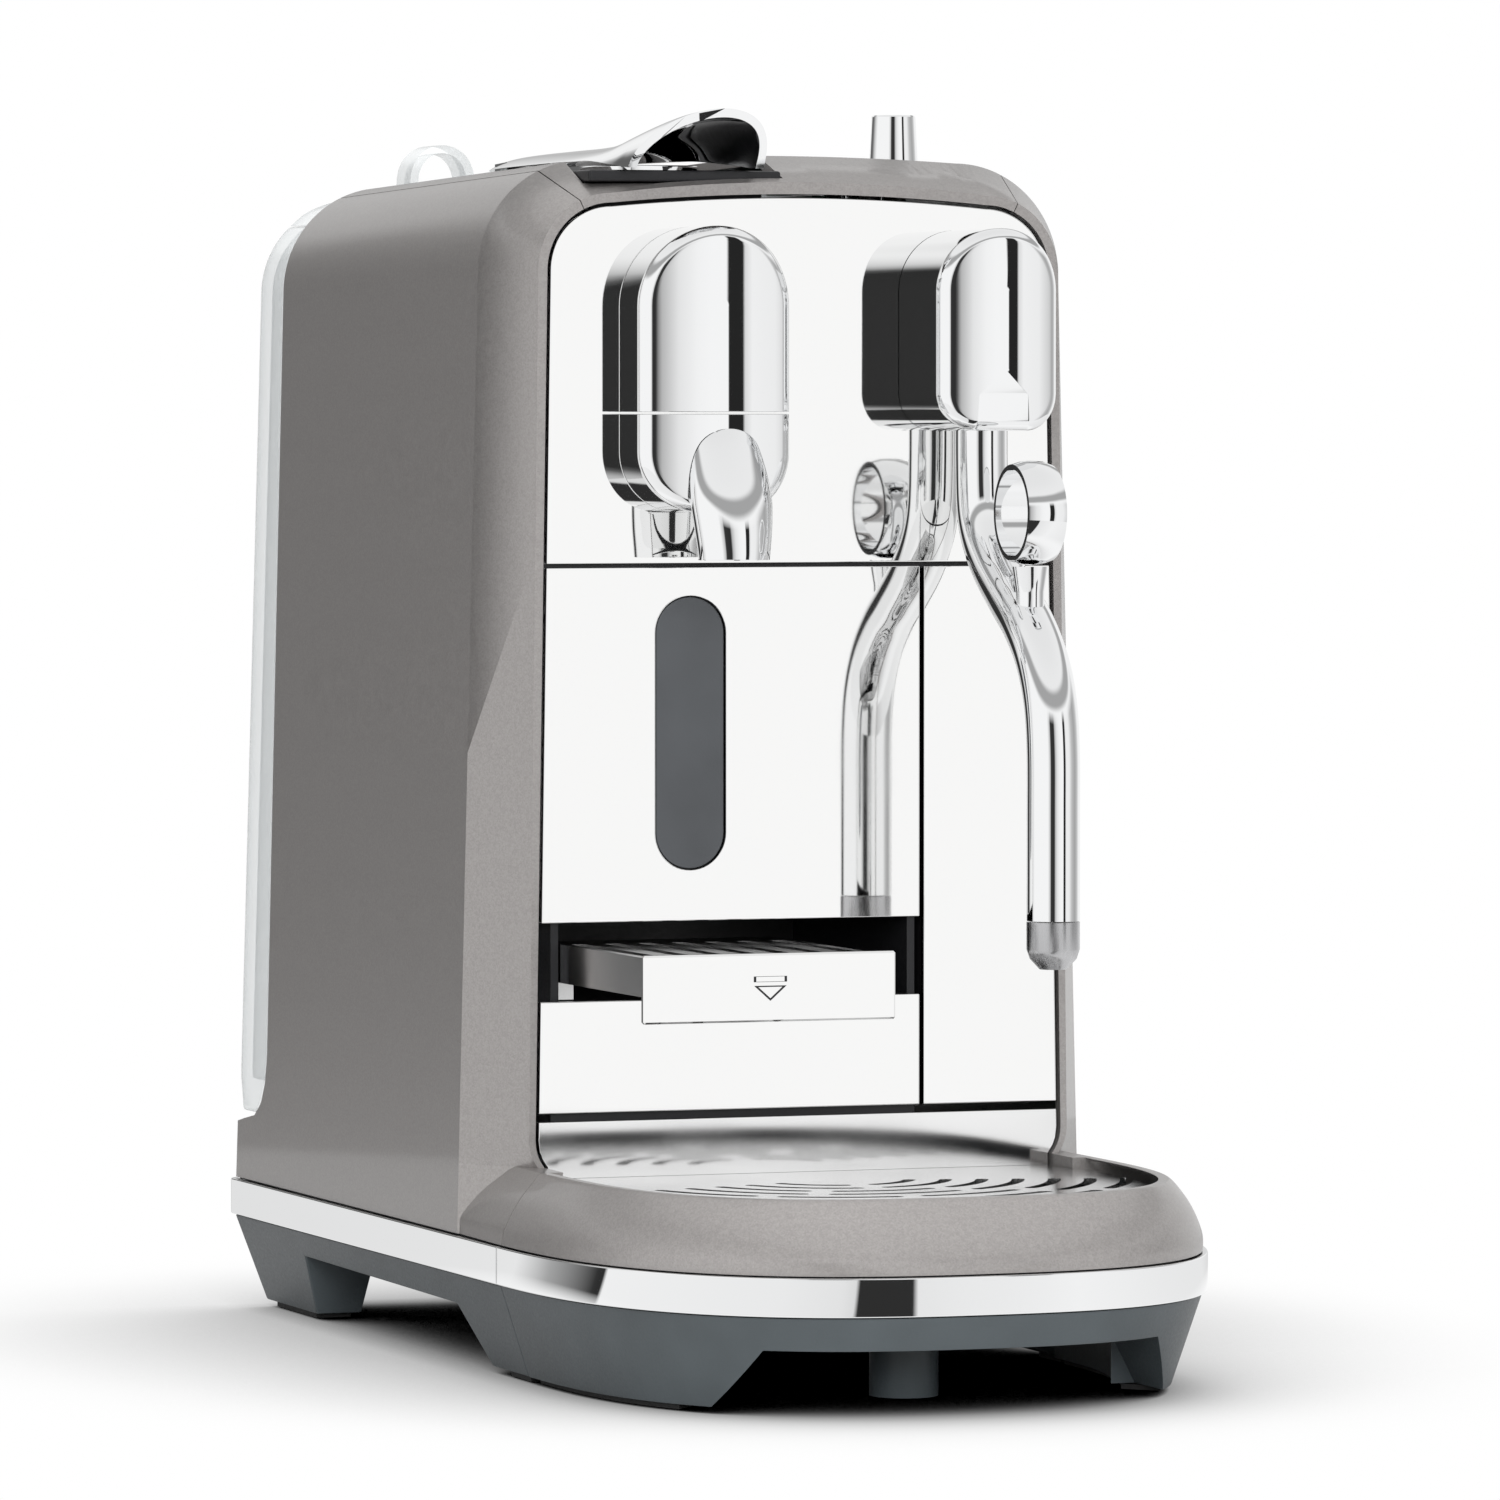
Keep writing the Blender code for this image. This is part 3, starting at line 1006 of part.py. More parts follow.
def lid_rings(grow):
    """T-shaped levels that close the body's round top behind the cover."""
    rings = []
    for z, inset in LID_LEVELS:
        wide = HALF_W - inset * MM + grow
        narrow = min(TANK_HALF_IN, wide - 0.8 * MM) + grow
        front, step, rear = TANK_FRONT_Y - grow, SHELL_REAR_Y + 0.5 * MM - grow, TANK_REAR_Y + grow
        side = ([(narrow, front), (narrow, step), (wide, step)]
                + arc(wide - 4 * MM, rear - 4 * MM, 4 * MM, 0, 90, 3))
        rings.append([(x, y, z + grow) for x, y in side] + [(-x, y, z + grow) for x, y in reversed(side)])
    return rings


def make_tank_lid():
    """Clear lid that completes the tank's round top, and its arched handle."""
    lid = loft("tank_lid", lid_rings(0.0), CLEAR_PLASTIC, 30)
    cx, cy, base = HANDLE_X, HANDLE_Y, 300.0 * MM
    outer = [(cx + 9.0 * MM, 292 * MM)]
    inner = [(cx + 6.8 * MM, 292 * MM)]
    for i in range(11):
        t = math.pi * i / 10
        rise = math.sin(t) ** 0.8 if 0 < i < 10 else 0.0
        outer.append((cx + 9.0 * MM * math.cos(t), base + 11.0 * MM * rise))
        inner.append((cx + 6.8 * MM * math.cos(t), base + 8.9 * MM * rise))
    outer.append((cx - 9.0 * MM, 292 * MM))
    inner.append((cx - 6.8 * MM, 292 * MM))
    handle = prism("tank_handle", outer + inner[::-1], cy - 6 * MM, cy + 6 * MM, CLEAR_PLASTIC, along="Y")
    return lid, cut(handle, loft("cut_lid_seat", lid_rings(CLEAR), CLEAR_PLASTIC))


# ---- drip drawer --------------------------------------------------------------------------------
def nose_plan(inset, rear_y=SEAM_Y - CLEAR):
    """Closed plan outline of the round front."""
    points = nose(inset, gap=CLEAR)
    if rear_y > SEAM_Y - CLEAR:
        points = [(points[0][0], rear_y)] + points + [(points[-1][0], rear_y)]
    return points


def make_tray_base():
    """Dark front base with two curved feet, arched in front."""
    rings = [
        [(x, y, FOOT_Z) for x, y in nose_plan(GROUND_INSET)],
        [(x, y, BAND_Z0 - CLEAR) for x, y in nose_plan(BASE_INSET)],
    ]
    base = loft("tray_base", rings, SLATE)
    join(base, prism("add_tray_plinth", nose_plan(PLINTH_INSET), BAND_Z0 - 2 * MM, BAND_Z1, SLATE))
    inner = nose(GROUND_INSET + 14 * MM)
    inner = [(inner[0][0], 0.0)] + inner + [(inner[-1][0], 0.0)]
    hollow = prism("cut_tray_hollow", inner, -5 * MM, ARCH_Z, SLATE)
    low_x, high_x = HALF_W - 23.5 * MM, HALF_W - 34.5 * MM
    arch = [(-low_x, -5 * MM), (-high_x, ARCH_Z), (high_x, ARCH_Z), (low_x, -5 * MM)]
    front_arch = prism("cut_tray_arch", arch, -DEPTH, SEAM_Y - 64.4 * MM, SLATE, along="Y")
    return cut(base, hollow, front_arch)


def make_tray_feet():
    """Curved pads under the front feet and a round foot under the middle."""
    pads = []
    for side, sign in (("left", -1), ("right", 1)):
        rim = [p for p in nose(GROUND_INSET + 2.5 * MM,
                               gap=CLEAR + 1.5 * MM) if p[0] * sign > 0 and p[1] > SEAM_Y - 72.4 * MM]
        back = [p for p in nose(GROUND_INSET + 12 * MM,
                                gap=CLEAR + 1.5 * MM) if p[0] * sign > 0 and p[1] > SEAM_Y - 63.4 * MM]
        pads.append(prism(f"tray_foot_pad_{side}", rim + back[::-1], 0, PAD_H, RUBBER))
    middle = cylinder("tray_centre_foot", 8.5 * MM, 0, ARCH_Z - CLEAR, (0, SEAM_Y - 58.4 * MM, 0), SLATE,
                      steps=24)
    return pads, middle


def make_tray_band():
    outer, inner = nose(0.0, gap=CLEAR), nose(BAND_T, gap=CLEAR)
    return prism("tray_band", outer + inner[::-1], BAND_Z0, BAND_Z1, CHROME)


def make_tray_skirt():
    """Painted bowl between the band and the tray's rim."""
    outer, inner = [], []
    for height, inset, power in SKIRT_LEVELS:
        outer.append([(x, y, height * MM) for x, y in nose(inset * MM, gap=CLEAR, power=power)])
        back = inset * MM + (2.6 * MM if height < SKIRT_LEVELS[-1][0] else 2.0 * MM)
        inner.append([(x, y, height * MM) for x, y in nose(back, gap=CLEAR, power=power)])
    bm = bmesh.new()
    count = len(outer[0])
    grids = [[[bm.verts.new(p) for p in row] for row in rows] for rows in (outer, inner)]
    levels = len(SKIRT_LEVELS)
    for grid in grids:
        for k in range(levels - 1):
            for i in range(count - 1):
                bm.faces.new((grid[k][i], grid[k][i + 1], grid[k + 1][i + 1], grid[k + 1][i]))
    first, second = grids
    for k in (0, levels - 1):
        for i in range(count - 1):
            bm.faces.new((first[k][i], first[k][i + 1], second[k][i + 1], second[k][i]))
    for k in range(levels - 1):
        for i in (0, count - 1):
            bm.faces.new((first[k][i], first[k + 1][i], second[k + 1][i], second[k][i]))
    return finish_mesh("tray_skirt", bm, PAINT, 40)


def make_drip_basin():
    """Black basin under the grid, which runs on under the drawer's inner frame."""
    inset = skirt_inset(RIM_Z) + 4.6 * MM

    def plan(grow):
        points = nose(inset - grow, gap=CLEAR, power=3.0)
        rear = BASIN_REAR_Y + grow
        side = BASIN_HALF + grow
        return ([(side, rear), (side, points[0][1] + 0.4 * MM)] + points
                + [(-side, points[-1][1] + 0.4 * MM), (-side, rear)])

    low, high = BODY_Z0 + 0.6 * MM, 46.2 * MM
    basin = prism("drip_basin", plan(0.0), low, high, BLACK)
    rim_plan = nose(inset, gap=CLEAR, power=3.0)
    rim_plan = ([(BASIN_HALF, FRONT_Y - 3.9 * MM), (BASIN_HALF, SEAM_Y)] + rim_plan
                + [(-BASIN_HALF, SEAM_Y), (-BASIN_HALF, FRONT_Y - 3.9 * MM)])
    join(basin, prism("add_basin_rim", rim_plan, high - 1 * MM, GRID_Z - 1.6 * MM - CLEAR, BLACK))
    return cut(basin, prism("cut_basin", plan(-2.2 * MM), low + 2.2 * MM, high + 5 * MM, BLACK))


BASIN_HALF = HALF_W - 21.5 * MM
BASIN_REAR_Y = DRAWER_BACK_Y


SLOT_HALF = 1.6 * MM            # half width of the grid's slots


def make_drip_grid():
    """Polished grid with rows of curved slots."""
    plate_inset = skirt_inset(RIM_Z) + 3.2 * MM
    outline = nose(plate_inset, gap=CLEAR, power=3.0)
    wide, narrow = outline[0][0], HALF_W - 18.2 * MM
    step, rear = SEAM_Y - CLEAR, FRONT_Y - 0.5 * MM
    outline = ([(narrow, rear), (narrow, step), (wide, step)] + outline
               + [(-wide, step), (-narrow, step), (-narrow, rear)])
    grid = prism("drip_grid", outline, GRID_Z - 1.6 * MM, GRID_Z, POLISHED)
    slots = []
    for row, (radius, spans) in enumerate(((19, 2), (28, 2), (37, 3), (46, 3), (55, 4), (64, 4), (73, 5))):
        for k in range(spans):
            mid = -90 + (k - (spans - 1) / 2) * 150 / spans
            half = 75 / spans - math.degrees(4 / radius)
            slots.append((row, radius * MM, mid - half, mid + half))
    cutters = []
    for index, (row, radius, a, b) in enumerate(slots):
        outer = arc(0, SEAM_Y - 9.4 * MM, radius + SLOT_HALF, a, b, 6)
        inner = arc(0, SEAM_Y - 9.4 * MM, radius - SLOT_HALF, a, b, 6)
        cutters.append(prism(f"cut_slot_{index}", outer + inner[::-1], GRID_Z - 5 * MM, GRID_Z + 5 * MM,
                             POLISHED))
    return cut(grid, *cutters)


def make_tray_wall():
    """Polished back wall of the tray, below the drawer's panels."""
    low, high = GRID_Z - 2.4 * MM, LOW_JOINT_Z - 0.6 * MM
    levels = [low, RIM_Z, 54 * MM, 56 * MM, TURN_Z, high]
    right = [(side_x(MIRROR, z) - corner_in(z), z) for z in levels]
    outline = right + [(-x, z) for x, z in reversed(right)]
    return prism("tray_back_wall", outline, FRONT_Y, FRONT_Y + PANEL_T, POLISHED, along="Y")


def make_drawer_frame():
    """Black inner frame of the drawer: cheeks, decks and the bin's pocket."""
    x0, x1 = DRAWER_X0, COLUMN_X - JOINT_GAP / 2 - 0.6 * MM
    y0, y1 = BACKING_Y0, DRAWER_BACK_Y
    t = 2.0 * MM
    floor = block("drawer_frame", (-BASIN_HALF, y0, 46.5 * MM), (BASIN_HALF, y1, 48.5 * MM), BLACK)
    parts = [
        block("add_cheek_left", (x0, y0, 47 * MM), (x0 + t, y1, 199 * MM), BLACK),
        block("add_cheek_right", (x1 - t, y0, 47 * MM), (x1, y1, 199 * MM), BLACK),
        block("add_lower_face", (x0 + 1 * MM, y0, 47 * MM), (x1 - 1 * MM, y0 + t, SLOT_Z0), BLACK),
        block("add_upper_face", (x0 + 1 * MM, y0, SLOT_Z1), (x1 - 1 * MM, y0 + t, 199 * MM), BLACK),
        block("add_support_deck", (x0 + 1 * MM, y0 + 1 * MM, SLOT_Z0 - t), (x1 - 1 * MM, y1, SLOT_Z0), BLACK),
        block("add_bin_deck", (x0 + 1 * MM, y0 + 1 * MM, SLOT_Z1), (x1 - 1 * MM, y1, SLOT_Z1 + t), BLACK),
        block("add_rear_wall", (x0 + 1 * MM, y1 - t, SLOT_Z0 - t + 0.5 * MM), (x1 - 1 * MM,
                                                                               y1 - 0.01 * MM, 198 * MM), BLACK),
        block("add_right_foot", (x1 - 1 * MM, y0 + 0.01 * MM, 47.5 * MM), (BASIN_HALF - 0.1 * MM, y0 + t,
                                                                           62 * MM),
              BLACK),
    ]
    return join(floor, *parts)


def make_capsule_bin():
    """Open bin for used capsules, behind the upper drawer panel."""
    low = (DRAWER_X0 + 3.0 * MM, BACKING_Y0 + 3.3 * MM, SLOT_Z1 + 2.0 * MM + CLEAR)
    high = (COLUMN_X - 4.4 * MM, DRAWER_BACK_Y - 2.8 * MM, 160 * MM)
    outline = rounded_rect(low[0], high[0], low[1], high[1], 5 * MM, 3)
    bin_body = prism("capsule_bin", outline, low[2], high[2], CHARCOAL)
    t = 1.8 * MM
    inside = rounded_rect(low[0] + t, high[0] - t, low[1] + t, high[1] - t, 3.5 * MM, 3)
    return cut(bin_body, prism("cut_bin", inside, low[2] + t, high[2] + 5 * MM, CHARCOAL))


def make_cup_support():
    """Pull-out cup support: plate, slotted deck and two runners."""
    front = FRONT_Y - SUPPORT_OUT
    plate = block("support_plate", (SUPPORT_X0, front, PLATE_Z0), (SUPPORT_X1, front + 2.2 * MM,
                                                                   PLATE_Z1), POLISHED, 0.5 * MM, 1)
    deck_y0, deck_y1 = front + 2.2 * MM + CLEAR, BACKING_Y0 + 14 * MM
    x0, x1 = DRAWER_X0 + 2.0 * MM + CLEAR, SUPPORT_X1 - 1.0 * MM
    deck = block("support_deck", (x0, deck_y0, 103.0 * MM), (x1, deck_y1, DECK_Z1), POLISHED)
    count = 7
    pitch = (x1 - x0) / count
    for i in range(count):
        left = x0 + pitch * (i + 0.5) - 1.9 * MM
        cut(deck, block(f"cut_deck_slot_{i}", (left, deck_y0 + 7 * MM, 90 * MM),
                        (left + 3.8 * MM, deck_y1 - 16 * MM, 120 * MM), POLISHED))
    for side, a, b in (("left", x0, x0 + 4 * MM), ("right", x1 - 4 * MM, x1)):
        join(deck, block(f"add_support_rail_{side}", (a + 0.01 * MM, deck_y0 + 0.01 * MM, 98.0 * MM),
                         (b - 0.01 * MM, deck_y1 - 0.01 * MM, 104.0 * MM), POLISHED))
        join(deck, block(f"add_support_shoe_{side}", (a + 0.02 * MM, FRONT_Y + 3 * MM, SLOT_Z0 + CLEAR),
                         (b - 0.02 * MM, deck_y1 - 0.02 * MM, 99 * MM), POLISHED))
    return plate, deck


# ---- build everything ---------------------------------------------------------------------------
make_chassis()
make_foot_pads()
make_body_band()
make_side_shell("side_shell_right", 1)
make_side_shell("side_shell_left", -1)
make_top_cover()
make_rear_cover()
make_inner_frame()
make_upper_panel()
make_right_panel()
brew_upper, brew_lower, coffee_spout = make_brew_head()
make_steam_head()
make_lever_bracket()
make_capsule_slot()
make_tank_seat()
make_gland()

brew_piston = make_machinery()
piston_axis = body_empty("piston_axis", (LEVER_X, 0.0, PISTON_Z))
carry(piston_axis, brew_piston)

dial_piece, button_pieces, display_piece, plate_piece = make_controls()
dial_axis = body_empty("dial_axis", (KNOB_X, KNOB_Y, cover_top(KNOB_X, KNOB_Y)))
carry(dial_axis, dial_piece)
for button_piece, button_y in zip(button_pieces, (START_Y, POWER_Y)):
    carry(body_empty(f"{button_piece.name}_axis", (KNOB_X, button_y, cover_top(KNOB_X, button_y))),
          button_piece)

lever_axis = body_empty("lever_axis", LEVER_PIVOT)
carry(lever_axis, make_lever())

wand_axis = body_empty("wand_axis", (STEAM_X, WAND_Y, WAND_Z))
carry(wand_axis, *make_wand())

tank_axis = body_empty("tank_axis", (0.0, VALVE_Y, TANK_FLOOR_Z))
carry(tank_axis, *make_tank())
lid_axis = body_empty("lid_axis", LID_PIVOT)
carry(lid_axis, *make_tank_lid())

drawer_axis = body_empty("drawer_axis", (0.0, SEAM_Y, BODY_Z0))
tray_pads, centre_foot = make_tray_feet()
carry(drawer_axis, make_tray_base(), *tray_pads, centre_foot, make_tray_band(), make_tray_skirt(),
      make_drip_basin(), make_tray_wall(), make_drawer_frame(), *make_drawer_panels())
carry(body_empty("grid_axis", (0.0, -100 * MM, GRID_Z)), make_drip_grid())
carry(body_empty("bin_axis", (-17 * MM, 0.0, SLOT_Z1)), make_capsule_bin())
support_plate, support_deck = make_cup_support()
carry(body_empty("support_axis", (SUPPORT_X0, FRONT_Y, DECK_Z1)), support_plate, support_deck)

# put the middle of the base over the origin
for root in [item for item in bpy.data.objects if item.parent is None]:
    root.location.y -= MIDDLE_Y
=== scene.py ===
"""Looks of a pod coffee machine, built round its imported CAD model.

Units are metres, +Z is up and -Y is the front. The visible pieces are drawn again here at a finer resolution,
from the same sizes as the solids, and each one stands for its solid. Hidden solids keep their shape and get a
material.
"""

import json
import math

import bmesh
import bpy
from mathutils import Matrix, Vector


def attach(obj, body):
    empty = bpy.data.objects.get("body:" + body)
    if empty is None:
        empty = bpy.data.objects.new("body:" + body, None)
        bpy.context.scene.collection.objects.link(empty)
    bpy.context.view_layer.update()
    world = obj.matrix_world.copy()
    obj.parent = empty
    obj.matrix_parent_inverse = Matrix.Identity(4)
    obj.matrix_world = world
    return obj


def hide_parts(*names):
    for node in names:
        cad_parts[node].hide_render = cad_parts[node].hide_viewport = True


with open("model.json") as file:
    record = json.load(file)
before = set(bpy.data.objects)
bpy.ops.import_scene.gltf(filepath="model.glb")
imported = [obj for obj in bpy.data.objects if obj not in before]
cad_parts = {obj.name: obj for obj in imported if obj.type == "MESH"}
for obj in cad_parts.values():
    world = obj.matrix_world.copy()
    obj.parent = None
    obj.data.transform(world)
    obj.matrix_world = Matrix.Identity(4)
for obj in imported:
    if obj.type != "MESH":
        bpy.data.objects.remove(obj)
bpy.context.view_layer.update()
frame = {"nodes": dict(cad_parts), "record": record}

SCENE = bpy.context.scene
DRAWN = []                      # name and object of everything drawn here, cutters included
FINE = 3                        # points in each arc, as a multiple of the solids' own
WELD = 1e-6                     # points nearer than this are one
MM = 0.001
WIDTH = 171.0 * MM              # over the chrome band
DEPTH = 343.0 * MM              # over the chrome band, front to rear
MIDDLE_Y = 1.5 * MM             # middle of the base, in the frame that the pieces are drawn in
CLEAR = 0.3 * MM                # gap between pieces that touch
WALL = 2.2 * MM                 # moulded walls
HALF_W = WIDTH / 2
REAR_Y = DEPTH / 2 + MIDDLE_Y
FRONT_NOSE = 115.4 * MM         # how far the round front reaches ahead of the drawer's joint
SEAM_Y = MIDDLE_Y - DEPTH / 2 + FRONT_NOSE  # joint between body base and drip drawer
NOSE_POWER = 2.6                # exponent of the round front's outline
REAR_CORNER = 4.0 * MM          # plan radius of the base's rear corners
PAD_H = 1.2 * MM                # rubber pads under the feet
FOOT_Z = PAD_H + CLEAR          # underside of the feet
ARCH_Z = 16.2 * MM              # top of the gap under the base
BAND_Z0 = 24.6 * MM             # chrome band, lower edge
BAND_Z1 = 34.1 * MM             # chrome band, upper edge
BAND_T = 2.1 * MM               # chrome band, thickness
BODY_Z0 = BAND_Z1 + CLEAR       # underside of the painted shells
GROUND_INSET = 8.5 * MM         # how far the feet lean in at the ground
BASE_INSET = 1.2 * MM           # base, just under the band
PLINTH_INSET = BAND_T + CLEAR   # the part of the base that the band wraps
CORNER_X = 50.05 * MM           # centre of the round upper corners
CORNER_Z = 275.3 * MM
CREASE = (84.7 * MM, 0.0240, 1.5 * MM)      # outer skin: base, slope, crown of the top
CREASE_IN = (84.7 * MM - WALL, 0.0240, 1.5 * MM)
STRIP = (72.8 * MM, 0.0120, 3.0 * MM)       # outer edge of the flat front strip
GAP = (71.3 * MM, 0.0153, 2.4 * MM)         # inner edge of the front strip
MIRROR = (70.4 * MM, 0.0153, 2.4 * MM)      # edge of the polished front panels
FRONT_Y = -40.1 * MM            # face of the polished front panels
STRIP_Y = -40.5 * MM            # face of the front strip
CREASE_Y = -19.0 * MM           # where the chamfer ends and the side begins
SHELL_REAR_Y = 145.8 * MM       # rear edge of the painted shells
TOP_SLOPE = 0.022               # fall of the top towards the rear
SEAM_ANGLE = 63.9               # degrees round the corner where side shell and top cover meet
PANEL_T = 2.0 * MM              # polished panels
LOW_JOINT_Z = 64.0 * MM         # drawer's back wall below, panels above
SLOT_Z0 = 93.4 * MM             # cup support slot
SLOT_Z1 = 113.0 * MM
MID_JOINT_Z = 201.9 * MM        # upper panel above, lower panels below
JOINT_GAP = 1.0 * MM            # width of the dark joints
COLUMN_X = 32.7 * MM            # vertical joint between drawer column and right panel
RIM_Z = 52.0 * MM               # top rim of the painted skirt
SKIRT_LEVELS = [                # height, inset and outline exponent of the painted skirt, in mm
    (34.4, 1.2, 2.6), (38.0, 2.0, 2.7), (42.0, 3.9, 2.8), (46.0, 6.4, 2.9), (49.5, 9.3, 3.0),
    (51.3, 10.8, 3.0), (52.0, 11.7, 3.0)]
GRID_Z = 49.2 * MM              # top face of the drip grid
DRAWER_X0 = -65.5 * MM          # left cheek of the drawer's inner frame
BREW_X = -28.0 * MM
BREW_HALF = 20.0 * MM
BREW_TOP_Z = 286.5 * MM
BREW_SEAM_Z = 240.0 * MM
BREW_BOTTOM_Z = 215.3 * MM
BREW_DEPTH = 12.5 * MM          # straight side of the brew head
BREW_BULGE = 7.0 * MM           # crowned front of the brew head
STEAM_X = 42.4 * MM
STEAM_HALF = 16.0 * MM
STEAM_TOP_Z = 286.0 * MM
STEAM_BOTTOM_Z = 235.5 * MM
STEAM_DEPTH = 25.5 * MM
STEAM_BULGE = 6.5 * MM
TUBE_R = 6.6 * MM               # steam tube
WAND_Y = FRONT_Y - 16.2 * MM    # wand pivot
WAND_Z = 240.0 * MM
WAND_PIVOT = (STEAM_X, WAND_Y, WAND_Z)
WAND_OUT_Y = FRONT_Y - 65.0 * MM    # the tube's lower, vertical run
WAND_TIP_Z = 103.0 * MM
RING_Y = FRONT_Y - 49.5 * MM
RING_Z = 215.3 * MM
RING_R = 13.0 * MM
RING_HOLE_R = 10.8 * MM
RING_W = 10.0 * MM
LEVER_X = -29.4 * MM
LEVER_PIVOT = (LEVER_X, 90.0 * MM, 296.5 * MM)
KNOB_X = 42.6 * MM
KNOB_Y = 6.0 * MM
TANK_HALF_IN = 54.0 * MM        # half width of the part that sits between the shells
TANK_FRONT_Y = 112.0 * MM
TANK_REAR_Y = 169.4 * MM        # rear of the tank at its top
TANK_LEAN = 0.016               # how the tank's rear wall leans out towards its foot
TANK_SPLIT_Z = 289.5 * MM       # tank below, lid above
TANK_OUTLINE = (84.1 * MM, 0.0240)
TANK_CORNER = (53.0 * MM, 271.5 * MM, 24.6 * MM)    # centre x, centre z, radius
TANK_WALL = 2.4 * MM
SKIRT_REAR_Z = 50.6 * MM        # the painted shells reach to the rear below this
SUPPORT_X0 = -66.0 * MM
SUPPORT_X1 = -0.6 * MM
SUPPORT_OUT = 69.0 * MM         # how far the plate stands ahead of the front panel
PLATE_Z0 = 91.9 * MM
PLATE_Z1 = 108.6 * MM
DECK_Z1 = 107.6 * MM
TURN_Z = 59.0 * MM
TURN_R = 11.0 * MM
SLOT_X0, SLOT_X1 = LEVER_X - 25.5 * MM, LEVER_X + 25.5 * MM     # capsule slot block
SLOT_Y0, SLOT_Y1 = -37.0 * MM, 34.0 * MM
DISPLAY_X0, DISPLAY_X1 = 3.0 * MM, 31.0 * MM
DISPLAY_Y0, DISPLAY_Y1 = 14.0 * MM, 52.0 * MM
BUTTON_R = 4.6 * MM
START_Y = 28.0 * MM
POWER_Y = 46.0 * MM
GLAND_X = 45.0 * MM
GLAND_Z = 42.0 * MM
BACKING_Y0 = FRONT_Y + PANEL_T + CLEAR      # face of the frame behind the panels
FEED_R = 7.7 * MM               # opening behind the steam head
FEED_Z = 261.0 * MM
GRIP_X = -29.2 * MM
GRIP_HALF = 9.0 * MM
GRIP_Z0, GRIP_Z1 = 126.0 * MM, 194.0 * MM
SPOUT_X = -26.4 * MM
SPOUT_Y = FRONT_Y - 24.0 * MM   # axis of the outlet
SPOUT_Z = 203.6 * MM            # rim of the outlet
PIN_R = 1.8 * MM
LEVER_T = 2.2                   # skin of the lever, in mm
LEVER_STEPS = 48
TANK_FLOOR_Z = 52.6 * MM
VALVE_R = 8.0 * MM
VALVE_Y = 136.0 * MM
LID_LEVELS = [(TANK_SPLIT_Z + CLEAR, 69.4), (293.0 * MM, 65.6), (295.0 * MM, 61.5), (296.4 * MM, 56.6),
              (298.5 * MM, 45.0), (300.0 * MM, 30.0)]     # height, half width in mm
HANDLE_X = -36.7 * MM
HANDLE_Y = 141.0 * MM


# ---- materials ----------------------------------------------------------------------------------
def wire(tree, node, inputs):
    """Give a node's inputs their values, and link the ones that come from another node's output."""
    for socket, value in inputs.items():
        if isinstance(value, bpy.types.NodeSocket):
            tree.links.new(value, node.inputs[socket])
        else:
            node.inputs[socket].default_value = value
    return node


def add_node(tree, kind, inputs=None, **settings):
    node = tree.nodes.new("ShaderNode" + kind)
    for name, value in settings.items():
        setattr(node, name, value)
    return wire(tree, node, inputs or {})


def sum_of(tree, operation, *values):
    return add_node(tree, "Math", dict(enumerate(values)), operation=operation).outputs[0]


def span(tree, source, start, end, low=0.0, high=1.0):
    """Map a value from one range onto another."""
    limits = {"Value": source, "From Min": start, "From Max": end, "To Min": low, "To Max": high}
    return add_node(tree, "MapRange", limits).outputs["Result"]


def blend(tree, share, first, second):
    """Mix two colours."""
    colours = {"Factor": share, "A": first, "B": second}
    return add_node(tree, "Mix", colours, data_type="RGBA").outputs["Result"]


def mix_shaders(tree, share, first, second):
    return add_node(tree, "MixShader", {0: share, 1: first.outputs[0], 2: second.outputs[0]})


def surface(mat, **sockets):
    """Set or link sockets of a material's own shader, named with underscores for spaces."""
    shader = mat.node_tree.nodes["Principled BSDF"]
    wire(mat.node_tree, shader, {name.replace("_", " "): value for name, value in sockets.items()})


def new_material(name, rgb, roughness, metallic=0.0, **sockets):
    mat = bpy.data.materials.new(name)
    mat.use_nodes = True
    surface(mat, Base_Color=(*rgb, 1.0), Roughness=roughness, Metallic=metallic, **sockets)
    mat.diffuse_color = (*rgb, 1.0)
    return mat


def texture(mat, kind, scale, stretch=(1, 1, 1), output="Fac", **settings):
    """A procedural texture on object coordinates, in metres; scale counts features per metre."""
    tree = mat.node_tree
    coords = add_node(tree, "TexCoord")
    mapping = add_node(tree, "Mapping", {"Vector": coords.outputs["Object"], "Scale": stretch})
    place = {"Vector": mapping.outputs["Vector"], "Scale": scale}
    return add_node(tree, "Tex" + kind, place | settings).outputs[output]


def spread(mat, source, low, high, start=0.3, end=0.7):
    """Map the middle of a texture's range onto a range of its own."""
    return span(mat.node_tree, source, start, end, low, high)


def tint(mat, source, dark, light):
    """Let the base colour run between two colours."""
    surface(mat, Base_Color=blend(mat.node_tree, source, (*dark, 1.0), (*light, 1.0)))


def bump(mat, source, height, strength=1.0):
    relief = {"Strength": strength, "Distance": height, "Height": source}
    surface(mat, Normal=add_node(mat.node_tree, "Bump", relief).outputs["Normal"])


def lacquer():
    """Warm grey metallic lacquer: aluminium flakes under a clear coat."""
    mat = new_material("paint_lacquer", (0.33, 0.314, 0.306), 0.36, 0.7, Coat_Weight=0.4, Coat_Roughness=0.06)
    flakes = texture(mat, "Voronoi", 2600.0, output="Color")
    cloud = texture(mat, "Noise", 700.0, Detail=3.0)
    split = add_node(mat.node_tree, "SeparateColor", {"Color": flakes})
    mix = sum_of(mat.node_tree, "MULTIPLY_ADD", split.outputs["Red"], 0.6, spread(mat, cloud, 0.0, 0.4))
    tint(mat, mix, (0.286, 0.271, 0.264), (0.372, 0.354, 0.345))
    surface(mat, Roughness=spread(mat, cloud, 0.38, 0.46))
    return mat


